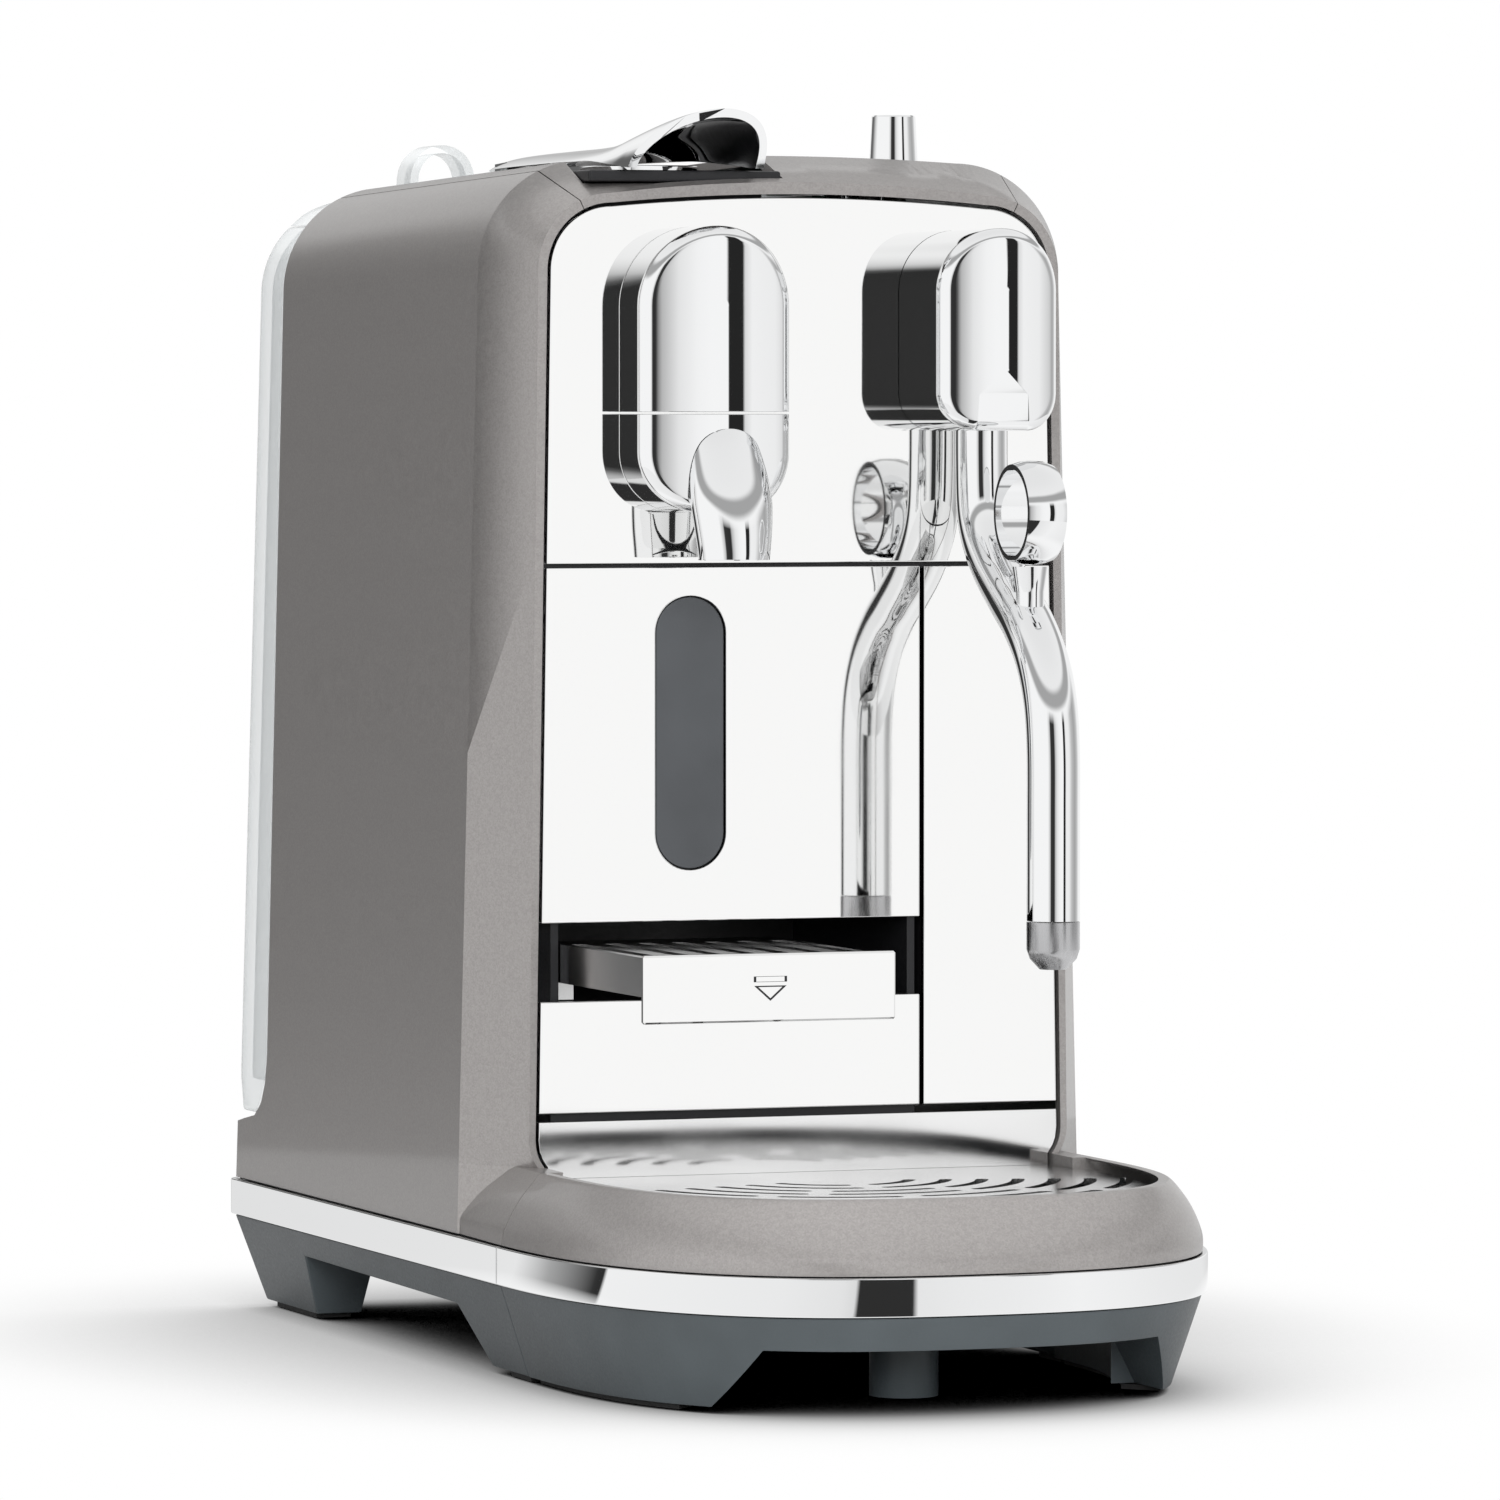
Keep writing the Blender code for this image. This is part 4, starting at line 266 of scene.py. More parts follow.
def mirror_metal(name, rgb, low, high):
    """Polished metal with faint haze."""
    mat = new_material(name, rgb, (low + high) / 2, 1.0)
    surface(mat, Roughness=spread(mat, texture(mat, "Noise", 22.0, Detail=4.0), low, high))
    return mat


def brushed(name, rgb, roughness, stretch):
    """Drawn or brushed metal with long fine lines."""
    mat = new_material(name, rgb, roughness, 1.0)
    lines = texture(mat, "Noise", 1500.0, stretch, Detail=3.0)
    surface(mat, Roughness=spread(mat, lines, roughness - 0.06, roughness + 0.08))
    tint(mat, spread(mat, lines, 0.0, 1.0), tuple(c * 0.88 for c in rgb), rgb)
    bump(mat, lines, 0.00002, 0.5)
    return mat


def moulded(name, rgb, roughness, grain=0.00004, scale=1500.0, vary=0.12):
    """Moulded plastic or rubber with a fine spark-eroded texture."""
    mat = new_material(name, rgb, roughness)
    fine_grain = texture(mat, "Noise", scale, Detail=4.0)
    soft = texture(mat, "Noise", 45.0, Detail=2.0)
    tint(mat, spread(mat, soft, 0.0, 1.0), tuple(c * (1 - vary) for c in rgb),
         tuple(min(c * (1 + vary), 1.0) for c in rgb))
    surface(mat, Roughness=spread(mat, fine_grain, roughness - 0.05, roughness + 0.07))
    bump(mat, fine_grain, grain, 0.7)
    return mat


def clear_moulding():
    """Clear plastic: see-through face on, denser towards its edges, with very faint flow lines."""
    mat = new_material("clear_moulding", (0.74, 0.78, 0.79), 0.03, 0.0, IOR=1.45)
    flow = texture(mat, "Noise", 30.0, (1, 1, 0.3), Detail=2.0)
    facing = add_node(mat.node_tree, "LayerWeight", {"Blend": 0.35}).outputs["Facing"]
    surface(mat, Roughness=spread(mat, flow, 0.02, 0.06), Alpha=spread(mat, facing, 0.1, 0.7, 0.0, 1.0))
    return mat


def board():
    """Green lacquered circuit board with copper tracks under the lacquer."""
    mat = new_material("board_lacquer", (0.03, 0.18, 0.08), 0.35)
    tracks = texture(mat, "Voronoi", 260.0, output="Distance")
    tint(mat, spread(mat, tracks, 1.0, 0.0, 0.2, 0.4), (0.02, 0.14, 0.06), (0.05, 0.27, 0.11))
    return mat


PAINT = lacquer()
POLISHED = mirror_metal("polished_steel_sheet", (0.93, 0.93, 0.925), 0.015, 0.05)
CHROME = mirror_metal("chrome_plate", (0.9, 0.905, 0.91), 0.01, 0.045)
SLATE = moulded("slate_moulding", (0.043, 0.052, 0.057), 0.44)
BLACK = moulded("black_moulding", (0.008, 0.008, 0.009), 0.38)
CHARCOAL = moulded("charcoal_moulding", (0.045, 0.048, 0.052), 0.36)
RUBBER = moulded("rubber_pad", (0.018, 0.018, 0.018), 0.75, 0.00008, 700.0)
CLEAR_PLASTIC = clear_moulding()
GLASS = moulded("display_black", (0.006, 0.006, 0.007), 0.09, 0.000002)
BRASS = brushed("brass_turned", (0.72, 0.5, 0.22), 0.28, (1.0, 0.03, 1.0))
ALLOY = moulded("alloy_cast", (0.5, 0.5, 0.51), 0.45, 0.0001, 600.0)
surface(ALLOY, Metallic=1.0)
BOARD = board()
STEEL = brushed("steel_drawn", (0.58, 0.58, 0.59), 0.25, (1.0, 1.0, 0.03))


# ---- modelling helpers --------------------------------------------------------------------------
def finish_mesh(name, bm, mat):
    """Turn a bmesh into a named object with outward faces."""
    bmesh.ops.recalc_face_normals(bm, faces=bm.faces)
    mesh = bpy.data.meshes.new(name)
    bm.to_mesh(mesh)
    bm.free()
    mesh.materials.append(mat)
    obj = bpy.data.objects.new(name, mesh)
    DRAWN.append((name, obj))
    SCENE.collection.objects.link(obj)
    return obj


def bridge(bm, first, second, closed=True):
    """Faces between two rows of vertices."""
    count = len(first)
    for i in range(count if closed else count - 1):
        j = (i + 1) % count
        bm.faces.new((first[i], first[j], second[j], second[i]))


def loft(name, rings, mat):
    """Skin closed rings of equal length, with a cap on each end."""
    bm = bmesh.new()
    loops = [[bm.verts.new(p) for p in ring] for ring in rings]
    for lower, upper in zip(loops, loops[1:]):
        bridge(bm, lower, upper)
    bm.faces.new(list(reversed(loops[0])))
    bm.faces.new(loops[-1])
    return finish_mesh(name, bm, mat)


def prism(name, outline, low, high, mat, along="Z"):
    """Extrude a plane outline along one axis, between two levels."""
    place = {
        "X": lambda a, b, h: (h, a, b),
        "Y": lambda a, b, h: (a, h, b),
        "Z": lambda a, b, h: (a, b, h),
    }[along]
    bm = bmesh.new()
    face = bm.faces.new([bm.verts.new(place(a, b, low)) for a, b in outline])
    grown = bmesh.ops.extrude_face_region(bm, geom=[face])
    moved = [g for g in grown["geom"] if isinstance(g, bmesh.types.BMVert)]
    bmesh.ops.translate(bm, verts=moved, vec=Vector(place(0.0, 0.0, high - low)))
    return finish_mesh(name, bm, mat)


def block(name, low, high, mat, bevel=0.0, segments=2):
    """A box between two corners, with its edges rounded if asked."""
    outline = [(low[0], low[1]), (high[0], low[1]), (high[0], high[1]), (low[0], high[1])]
    obj = prism(name, outline, low[2], high[2], mat)
    if bevel:
        soften(obj, bevel, segments)
    return obj


def soften(obj, width, segments=2, angle=40):
    mod = obj.modifiers.new("edges", "BEVEL")
    mod.width = width
    mod.segments = segments
    mod.limit_method = "ANGLE"
    mod.angle_limit = math.radians(angle)
    return mod


def turned(name, profile, centre, mat, along="Z", steps=48):
    """Spin an outline of (radius, height) points round an axis through centre."""
    unit = {"X": Vector((1, 0, 0)), "Y": Vector((0, 1, 0)), "Z": Vector((0, 0, 1))}
    axis, side = unit[along], unit[{"X": "Y", "Y": "Z", "Z": "X"}[along]]
    origin = Vector(centre)
    bm = bmesh.new()
    verts = [bm.verts.new(origin + side * r + axis * h) for r, h in profile]
    edges = [bm.edges.new((a, b)) for a, b in zip(verts, verts[1:])]
    if profile[0][0] > 0 or profile[-1][0] > 0:     # a ring, open along its axis
        edges.append(bm.edges.new((verts[-1], verts[0])))
    bmesh.ops.spin(bm, geom=verts + edges, cent=origin, axis=axis, angle=2 * math.pi,
                   steps=steps, use_merge=True)
    bmesh.ops.remove_doubles(bm, verts=bm.verts, dist=WELD)
    return finish_mesh(name, bm, mat)


def cylinder(name, radius, low, high, centre, mat, along="Z", edge=0.0):
    """A plain round bar, with its end edges broken if asked."""
    if edge:
        rim = [(radius - edge, low), (radius, low + edge), (radius, high - edge), (radius - edge, high)]
    else:
        rim = [(radius, low), (radius, high)]
    return turned(name, [(0.0, low), *rim, (0.0, high)], centre, mat, along)


def combine(obj, others, operation):
    """Leave an exact Boolean with each of the others on an object."""
    for other in others:
        mod = obj.modifiers.new(operation.lower(), "BOOLEAN")
        mod.operation = operation
        mod.solver = "EXACT"
        mod.object = other
        other.hide_render = True
    return obj


def cut(obj, *cutters):
    return combine(obj, cutters, "DIFFERENCE")


def join(obj, *others):
    return combine(obj, others, "UNION")


def arc(cx, cy, radius, start_deg, end_deg, steps):
    """Points of an arc in a plane, both ends included."""
    points = []
    steps *= FINE
    for i in range(steps + 1):
        t = math.radians(start_deg + (end_deg - start_deg) * i / steps)
        points.append((cx + radius * math.cos(t), cy + radius * math.sin(t)))
    return points


def rounded_rect(x0, x1, y0, y1, radius, steps=4):
    return (arc(x1 - radius, y0 + radius, radius, -90, 0, steps)
            + arc(x1 - radius, y1 - radius, radius, 0, 90, steps)
            + arc(x0 + radius, y1 - radius, radius, 90, 180, steps)
            + arc(x0 + radius, y0 + radius, radius, 180, 270, steps))


def pill(cx, half, low, high, steps=8):
    """An upright slot outline with full round ends."""
    return arc(cx, high - half, half, 0, 180, steps) + arc(cx, low + half, half, 180, 360, steps)


def tube(name, points, radius, mat, sides=12):
    """A round rod along a smooth run of points."""
    curve = bpy.data.curves.new(name, "CURVE")
    curve.dimensions = "3D"
    curve.bevel_depth = radius
    curve.bevel_resolution = sides
    curve.use_fill_caps = True
    spline = curve.splines.new("POLY")
    spline.points.add(len(points) - 1)
    for target, point in zip(spline.points, points):
        target.co = (*point, 1.0)
    curve.materials.append(mat)
    draft = bpy.data.objects.new(name + "_run", curve)
    SCENE.collection.objects.link(draft)
    bpy.context.view_layer.update()
    mesh = bpy.data.meshes.new_from_object(draft)
    bpy.data.objects.remove(draft, do_unlink=True)
    bm = bmesh.new()
    bm.from_mesh(mesh)
    bmesh.ops.remove_doubles(bm, verts=bm.verts, dist=WELD)
    return finish_mesh(name, bm, mat)


def smooth_run(points, steps):
    """Points read from a Catmull-Rom curve through the given ones."""
    ends = [points[0]] + list(points) + [points[-1]]
    out = []
    for a, b, c, d in zip(ends, ends[1:], ends[2:], ends[3:]):
        for i in range(steps):
            t = i / steps
            out.append(tuple(
                0.5 * (2 * q + (r - p) * t + (2 * p - 5 * q + 4 * r - s) * t * t
                       + (3 * q - p - 3 * r + s) * t ** 3)
                for p, q, r, s in zip(a, b, c, d)))
    return out + [tuple(points[-1])]


def nose(inset, steps=132, gap=0.0, power=NOSE_POWER):
    """The round front of the base in plan, from the right joint to the left one."""
    a = HALF_W - inset
    b = FRONT_NOSE - inset - gap
    points = []
    for i in range(steps + 1):
        t = math.pi * i / steps
        c, s = math.cos(t), math.sin(t)
        x = math.copysign(abs(c) ** (2 / power), c) * a
        points.append((x, SEAM_Y - gap - b * abs(s) ** (2 / power)))
    return points


def stern(inset):
    """The rear part of the base in plan, from its right front corner round the back."""
    a = HALF_W - inset
    rear = REAR_Y - inset
    r = max(REAR_CORNER - inset, 0.5 * MM)
    return ([(a, SEAM_Y)] + arc(a - r, rear - r, r, 0, 90, 3)
            + arc(-a + r, rear - r, r, 90, 180, 3) + [(-a, SEAM_Y)])


def side_x(line, z):
    return line[0] - line[1] * z


def radial(line, degrees):
    """A point of a tombstone outline, round its right upper corner."""
    r = side_x(line, CORNER_Z) - CORNER_X
    t = math.radians(degrees)
    return CORNER_X + r * math.cos(t), CORNER_Z + r * math.sin(t)


def crown(line, x):
    """Height of a tombstone outline's top at x, between its corners."""
    r = side_x(line, CORNER_Z) - CORNER_X
    return CORNER_Z + r + line[2] * (1 - (x / CORNER_X) ** 2)


def tombstone(line, low, corner_steps=24, crown_steps=24):
    """A whole tombstone outline in (x, z), from its lower right corner."""
    right = [(side_x(line, low), low)]
    right += [radial(line, 90 * i / corner_steps) for i in range(corner_steps + 1)]
    top = [CORNER_X * (1 - 2 * i / crown_steps) for i in range(1, crown_steps)]
    return (right + [(x, crown(line, x)) for x in top]
            + [(-x, z) for x, z in reversed(right)])


def settle(x, y, z):
    """Let the upper body fall gently towards the rear."""
    share = min(max((z - 200 * MM) / (75 * MM), 0.0), 1.0)
    return x, y, z - TOP_SLOPE * max(y - CREASE_Y, 0.0) * share


def skirt_at(z, column):
    """Inset in metres or outline exponent of the skirt at a height."""
    levels = SKIRT_FINE
    level = min(max(z / MM, levels[0][0]), levels[-1][0])
    for low, high in zip(levels, levels[1:]):
        if level <= high[0]:
            share = (level - low[0]) / (high[0] - low[0])
            return low[column] + (high[column] - low[column]) * share
    return levels[-1][column]


def skirt_inset(z):
    return skirt_at(z, 1) * MM


def skirt_x(z):
    """Half width of the painted skirt's straight flank at a height."""
    return HALF_W - skirt_inset(z)


def corner_in(z):
    """How far the strip beside the tray's wall bends inwards near the rim."""
    drop = min(max(TURN_Z - z, 0.0), TURN_Z - RIM_Z)
    return TURN_R - math.sqrt(TURN_R ** 2 - drop ** 2)


def make_plinth(name, plan):
    """Dark base that leans in towards the ground, and the part of it that the band wraps."""
    levels = ((GROUND_INSET, FOOT_Z), (BASE_INSET, BAND_Z0 - CLEAR))
    base = loft(name, [[(x, y, z) for x, y in plan(inset)] for inset, z in levels], SLATE)
    return join(base, prism("add_plinth", plan(PLINTH_INSET), BAND_Z0 - 2 * MM, BAND_Z1, SLATE))


def make_chassis():
    """Dark base under the body: a plinth on four corner feet, arched between them."""
    arch = [(-33 * MM, -5 * MM), (-12 * MM, ARCH_Z), (114 * MM, ARCH_Z + 1.2 * MM), (122.5 * MM, -5 * MM)]
    side_arch = prism("cut_side_arch", arch, -WIDTH, WIDTH, SLATE, along="X")
    under = [(-65.5 * MM, -5 * MM), (65.5 * MM, -5 * MM), (62.5 * MM, ARCH_Z), (-62.5 * MM, ARCH_Z)]
    tunnel = prism("cut_under_base", under, -WIDTH, DEPTH, SLATE, along="Y")
    cut(make_plinth("base_chassis", stern), side_arch, tunnel)


def make_body_band():
    outer, inner = stern(0.0), stern(BAND_T)
    return prism("body_band", outer + inner[::-1], BAND_Z0, BAND_Z1, CHROME)


def rear_edge(z):
    """Rear end of the painted side at a height: it runs on to the rear below the tank."""
    drop = [(BODY_Z0, 171.4), (49.5 * MM, 171.0), (SKIRT_REAR_Z, 165.0), (RIM_Z, 156.0),
            (55.5 * MM, 150.5), (61.0 * MM, 147.2), (68.0 * MM, 145.8)]
    for (z0, y0), (z1, y1) in zip(drop, drop[1:]):
        if z <= z1:
            return (y0 + (y1 - y0) * max(z - z0, 0.0) / (z1 - z0)) * MM
    return SHELL_REAR_Y


def flank_ring(z):
    """Plan section of the right shell at a height on its straight flank."""
    hw, back = side_x(CREASE, z), side_x(CREASE_IN, z)
    strip, inner = side_x(STRIP, z) - corner_in(z), side_x(GAP, z) - corner_in(z)
    front = SEAM_Y if z <= RIM_Z else STRIP_Y
    flare = max(skirt_x(z), strip) if z <= RIM_Z else strip
    knee = min(max(flare, strip + 1.0 * MM), hw - 0.4 * MM)
    knee_y = STRIP_Y + (CREASE_Y - STRIP_Y) * (knee - strip) / (hw - strip)
    rear = rear_edge(z)
    return [
        (inner, FRONT_Y + 3 * MM, z), (inner, front, z), (flare, front, z), (knee, knee_y, z),
        (hw, CREASE_Y, z), (hw, rear - 1.2 * MM, z), (hw - 1.2 * MM, rear, z), (back, rear, z),
        (back, CREASE_Y + 1 * MM, z), (inner + 1.2 * MM, FRONT_Y + 3 * MM, z),
    ]


def swept_ring(point_on):
    """The shell's section where the outline turns: one point for each corner of the section."""
    gap, strip, outer, inner = (point_on(line) for line in (GAP, STRIP, CREASE, CREASE_IN))

    def between(a, b, share):
        return tuple(p + (q - p) * share for p, q in zip(a, b))

    knee = between(strip, outer, 0.1)
    knee_y = STRIP_Y + (CREASE_Y - STRIP_Y) * 0.1
    lap = between(gap, outer, 0.11)
    rim = between(outer, inner, 0.55)
    places = [
        (gap, FRONT_Y + 3 * MM), (gap, STRIP_Y), (strip, STRIP_Y), (knee, knee_y),
        (outer, CREASE_Y), (outer, SHELL_REAR_Y - 1.2 * MM), (rim, SHELL_REAR_Y),
        (inner, SHELL_REAR_Y), (inner, CREASE_Y + 1 * MM), (lap, FRONT_Y + 3 * MM),
    ]
    return [settle(x, y, z) for (x, z), y in places]


def make_side_shells():
    """Painted sides: front strip, chamfer, flank and the round upper corner, each in one moulding."""
    low = sorted([BODY_Z0 + (RIM_Z - BODY_Z0) * i / 20 for i in range(21)] + [49.5 * MM, SKIRT_REAR_Z])
    high = [RIM_Z + 0.05 * MM] + [z * MM for z in (53, 54, 55, 56, 57.5, 59, 61, 64, 68, 110, 155, 200)]
    rings = [flank_ring(z) for z in low + high]
    for z in (220 * MM, 240 * MM, 258 * MM):
        rings.append(swept_ring(lambda line, h=z: (side_x(line, h), h)))
    corner_steps = 26
    for i in range(corner_steps + 1):
        angle = SEAM_ANGLE * i / corner_steps
        rings.append(swept_ring(lambda line, a=angle: radial(line, a)))
    loft("side_shell_right", rings, PAINT)
    loft("side_shell_left", [[(-x, y, z) for x, y, z in ring] for ring in rings], PAINT)


def make_top_cover():
    """Painted top between the two shells, with the lever's recess and the tank's opening."""
    start = SEAM_ANGLE + 0.7
    turns = [start + (90.0 - start) * i / 10 for i in range(11)]
    steps = 36
    across = [CORNER_X * (1 - 2 * i / steps) for i in range(1, steps)]
    rings = [swept_ring(lambda line, a=angle: radial(line, a)) for angle in turns]
    rings += [swept_ring(lambda line, u=x: (u, crown(line, u))) for x in across]
    rings += [[(-x, y, z) for x, y, z in ring] for ring in reversed(rings[:len(turns)])]
    cover = loft("top_cover", rings, PAINT)
    pieces = {  # corners of what is taken out of the cover
        "cut_slot_recess": ((SLOT_X0 - CLEAR, SLOT_Y0 - CLEAR, 297.2 * MM),
                            (SLOT_X1 + CLEAR, SLOT_Y1 + CLEAR, 320 * MM)),
        "cut_slot_neck": ((LEVER_X - 23.4 * MM, -30.4 * MM, 280 * MM),
                          (LEVER_X + 23.4 * MM, 30.4 * MM, 310 * MM)),
        "cut_lever_recess": ((LEVER_X - 15.3 * MM, 74 * MM, 270 * MM),
                             (LEVER_X + 15.3 * MM, TANK_FRONT_Y + 5 * MM, 320 * MM)),
        "cut_tank_opening": ((-TANK_HALF_IN - 0.8 * MM, TANK_FRONT_Y - 0.8 * MM, 270 * MM),
                             (TANK_HALF_IN + 0.8 * MM, 200 * MM, 320 * MM)),
        "cut_display": ((DISPLAY_X0 - CLEAR, DISPLAY_Y0 - CLEAR, 280 * MM),
                        (DISPLAY_X1 + CLEAR, DISPLAY_Y1 + CLEAR, 320 * MM)),
    }
    cut(cover, *(block(name, low, high, PAINT) for name, (low, high) in pieces.items()))
    for name, y, radius in (("knob", KNOB_Y, 4.0 * MM), ("start", START_Y, BUTTON_R + CLEAR),
                            ("power", POWER_Y, BUTTON_R + CLEAR)):
        cut(cover, cylinder(f"cut_{name}_hole", radius, 280 * MM, 320 * MM, (KNOB_X, y, 0), PAINT))


def make_rear_cover():
    """Painted lower rear wall, below the tank, with the mains inlet's hole."""
    half = side_x(CREASE_IN, BODY_Z0) - CLEAR
    wall = block("rear_lower_cover", (-half + 0.9 * MM, 168.6 * MM, BODY_Z0),
                 (half - 0.9 * MM, 171.0 * MM, 50.0 * MM), PAINT)
    hole = cylinder("cut_gland_hole", 5.3 * MM, 150 * MM, 190 * MM, (GLAND_X, 0, GLAND_Z), PAINT, "Y")
    return cut(wall, hole)


def panel(name, outline, back_y=FRONT_Y + PANEL_T, front_y=FRONT_Y, mat=POLISHED):
    return prism(name, outline, front_y, back_y, mat, along="Y")


def panel_corners(x0, x1, z0, z1):
    """A front panel's outline; a side given as None follows the drafted body."""
    left = [(-side_x(MIRROR, z) if x0 is None else x0, z) for z in (z0, z1)]
    right = [(side_x(MIRROR, z) if x1 is None else x1, z) for z in (z0, z1)]
    return [left[0], right[0], right[1], left[1]]


def make_upper_panel():
    """Polished upper front with the arched top, bored for the steam feed."""
    upper = panel("front_panel_upper", tombstone(MIRROR, MID_JOINT_Z + JOINT_GAP / 2))
    cut(upper, cylinder("cut_steam_feed", FEED_R, -60 * MM, -20 * MM, (STEAM_X, 0, FEED_Z), POLISHED, "Y"))


def make_right_panel():
    panel("front_panel_right", panel_corners(COLUMN_X + JOINT_GAP / 2, None,
                                             LOW_JOINT_Z + 1.4 * MM, MID_JOINT_Z - JOINT_GAP / 2))


def make_drawer_panels():
    """The drawer's two polished panels, and the dark insert sunk in the upper one."""
    right = COLUMN_X - JOINT_GAP / 2
    upper = panel("drawer_panel_upper", panel_corners(None, right, SLOT_Z1, MID_JOINT_Z - JOINT_GAP / 2))
    cut(upper, panel("cut_grip_recess", pill(GRIP_X, GRIP_HALF + CLEAR, GRIP_Z0 - CLEAR, GRIP_Z1 + CLEAR),
                     FRONT_Y + 10 * MM, FRONT_Y - 1 * MM))
    panel("drawer_panel_lower", panel_corners(None, right, LOW_JOINT_Z + 1.4 * MM, SLOT_Z0))
    panel("drawer_grip_insert", pill(GRIP_X, GRIP_HALF, GRIP_Z0, GRIP_Z1), front_y=FRONT_Y + 0.5 * MM,
          mat=CHARCOAL)


def head_ring(cx, half, low, high, low_r, high_r, inset, y):
    """A rounded upright outline, drawn in by inset, at a depth."""
    a = half - inset
    lo, hi = low + inset, high - inset
    rl, rh = max(low_r - inset, 0.5 * MM), max(high_r - inset, 0.5 * MM)
    rl, rh = min(rl, a), min(rh, a)
    points = (arc(cx + a - rl, lo + rl, rl, -90, 0, 6) + arc(cx + a - rh, hi - rh, rh, 0, 90, 6)
              + arc(cx - a + rh, hi - rh, rh, 90, 180, 6) + arc(cx - a + rl, lo + rl, rl, 180, 270, 6))
    return [(x, y, z) for x, z in points]


HEAD_ROLL = 0.45                # share of a head's bulge that is its rolled edge
ROLL_STEPS, FACE_STEPS = 14, 20


def make_head(name, cx, half, low, high, low_r, high_r, depth, bulge):
    """A pill-like housing on the front: straight sides, a rolled edge and a face curved across its width."""
    face = FRONT_Y - CLEAR
    roll = bulge * HEAD_ROLL
    sweep = bulge - roll
    turns = [math.pi / 2 * i / ROLL_STEPS for i in range(ROLL_STEPS + 1)]
    steps = [(roll * (1 - math.cos(t)), roll * math.sin(t)) for t in turns]
    steps += [(roll + (half * 0.94 - roll) * i / FACE_STEPS, roll) for i in range(1, FACE_STEPS + 1)]
    rings = [head_ring(cx, half, low, high, low_r, high_r, 0.0, face)]
    for inset, ahead in steps:
        ring = head_ring(cx, half, low, high, low_r, high_r, inset, face)
        rings.append([(x, y - depth - ahead - sweep * (1 - ((x - cx) / half) ** 2), z) for x, y, z in ring])
    return loft(name, rings, CHROME)


def make_brew_head():
    """Upper and lower halves of the brew head, parted by a thin joint, and the spout."""
    shape = (BREW_X, BREW_HALF, BREW_BOTTOM_Z, BREW_TOP_Z, 15 * MM, 20 * MM, BREW_DEPTH, BREW_BULGE)
    upper = make_head("brew_head_upper", *shape)
    lower = make_head("brew_head_lower", *shape)
    far, gap = 120 * MM, 0.25 * MM
    for half, z0, z1 in ((upper, -far, gap), (lower, -gap, far)):
        cut(half, block("cut_head_joint", (BREW_X - far / 2, -far, BREW_SEAM_Z + z0),
                        (BREW_X + far / 2, 0, BREW_SEAM_Z + z1), CHROME))
    socket = make_head("cut_head_socket", BREW_X, BREW_HALF + CLEAR, BREW_BOTTOM_Z - CLEAR, BREW_TOP_Z,
                       15 * MM, 20 * MM, BREW_DEPTH, BREW_BULGE + 2 * CLEAR)
    cut(make_spout(), socket)


def make_spout():
    """Tapered spout that grows out of the lower half of the head."""
    stations = [  # height, centre y, half width, half depth
        (237.0, -55.5, 6.0, 4.2), (233.0, -57.2, 8.2, 5.6), (226.0, -59.6, 9.8, 7.0),
        (219.0, -61.8, 10.4, 8.0), (212.0, -63.4, 9.9, 8.2), (206.0, -64.1, 9.2, 8.0),
        (203.6, -64.1, 9.0, 7.9)]
    rings = []
    for z, y, a, b in smooth_run(stations, 6):
        rings.append([(SPOUT_X + a * MM * math.cos(t), y * MM + b * MM * math.sin(t), z * MM)
                      for t in (2 * math.pi * i / 64 for i in range(64))])
    spout = loft("coffee_spout", rings, CHROME)
    bore = turned("cut_spout_bore", [(0.0, 0.0), (7.6 * MM, 0.0), (6.6 * MM, 8 * MM), (0.0, 9 * MM)],
                  (SPOUT_X, SPOUT_Y, SPOUT_Z - 1 * MM), CHROME)
    return cut(spout, bore)


def make_steam_head():
    """Steam head, hollowed underneath for the tube, its pins and its swing."""
    head = make_head("steam_head", STEAM_X, STEAM_HALF, STEAM_BOTTOM_Z, STEAM_TOP_Z, 9.5 * MM, 15.5 * MM,
                     STEAM_DEPTH, STEAM_BULGE)
    socket = cylinder("cut_wand_socket", TUBE_R + 1.6 * MM, -25 * MM, 9 * MM, WAND_PIVOT, CHROME)
    swing = [(WAND_Y, WAND_Z - 25 * MM), (WAND_Y, WAND_Z + 6 * MM), (WAND_Y - 7.2 * MM, WAND_Z + 6 * MM),
             (WAND_Y - 7.2 * MM, WAND_Z), (WAND_Y - 9.3 * MM, WAND_Z - 4.5 * MM),
             (WAND_Y - 19 * MM, WAND_Z - 25 * MM)]
    slot = prism("cut_wand_swing", swing, STEAM_X - 7.1 * MM, STEAM_X + 7.1 * MM, CHROME, along="X")
    pins = cylinder("cut_pin_bores", PIN_R + CLEAR, -12 * MM, 12 * MM, WAND_PIVOT, CHROME, "X")
    cut(head, socket, slot, pins)


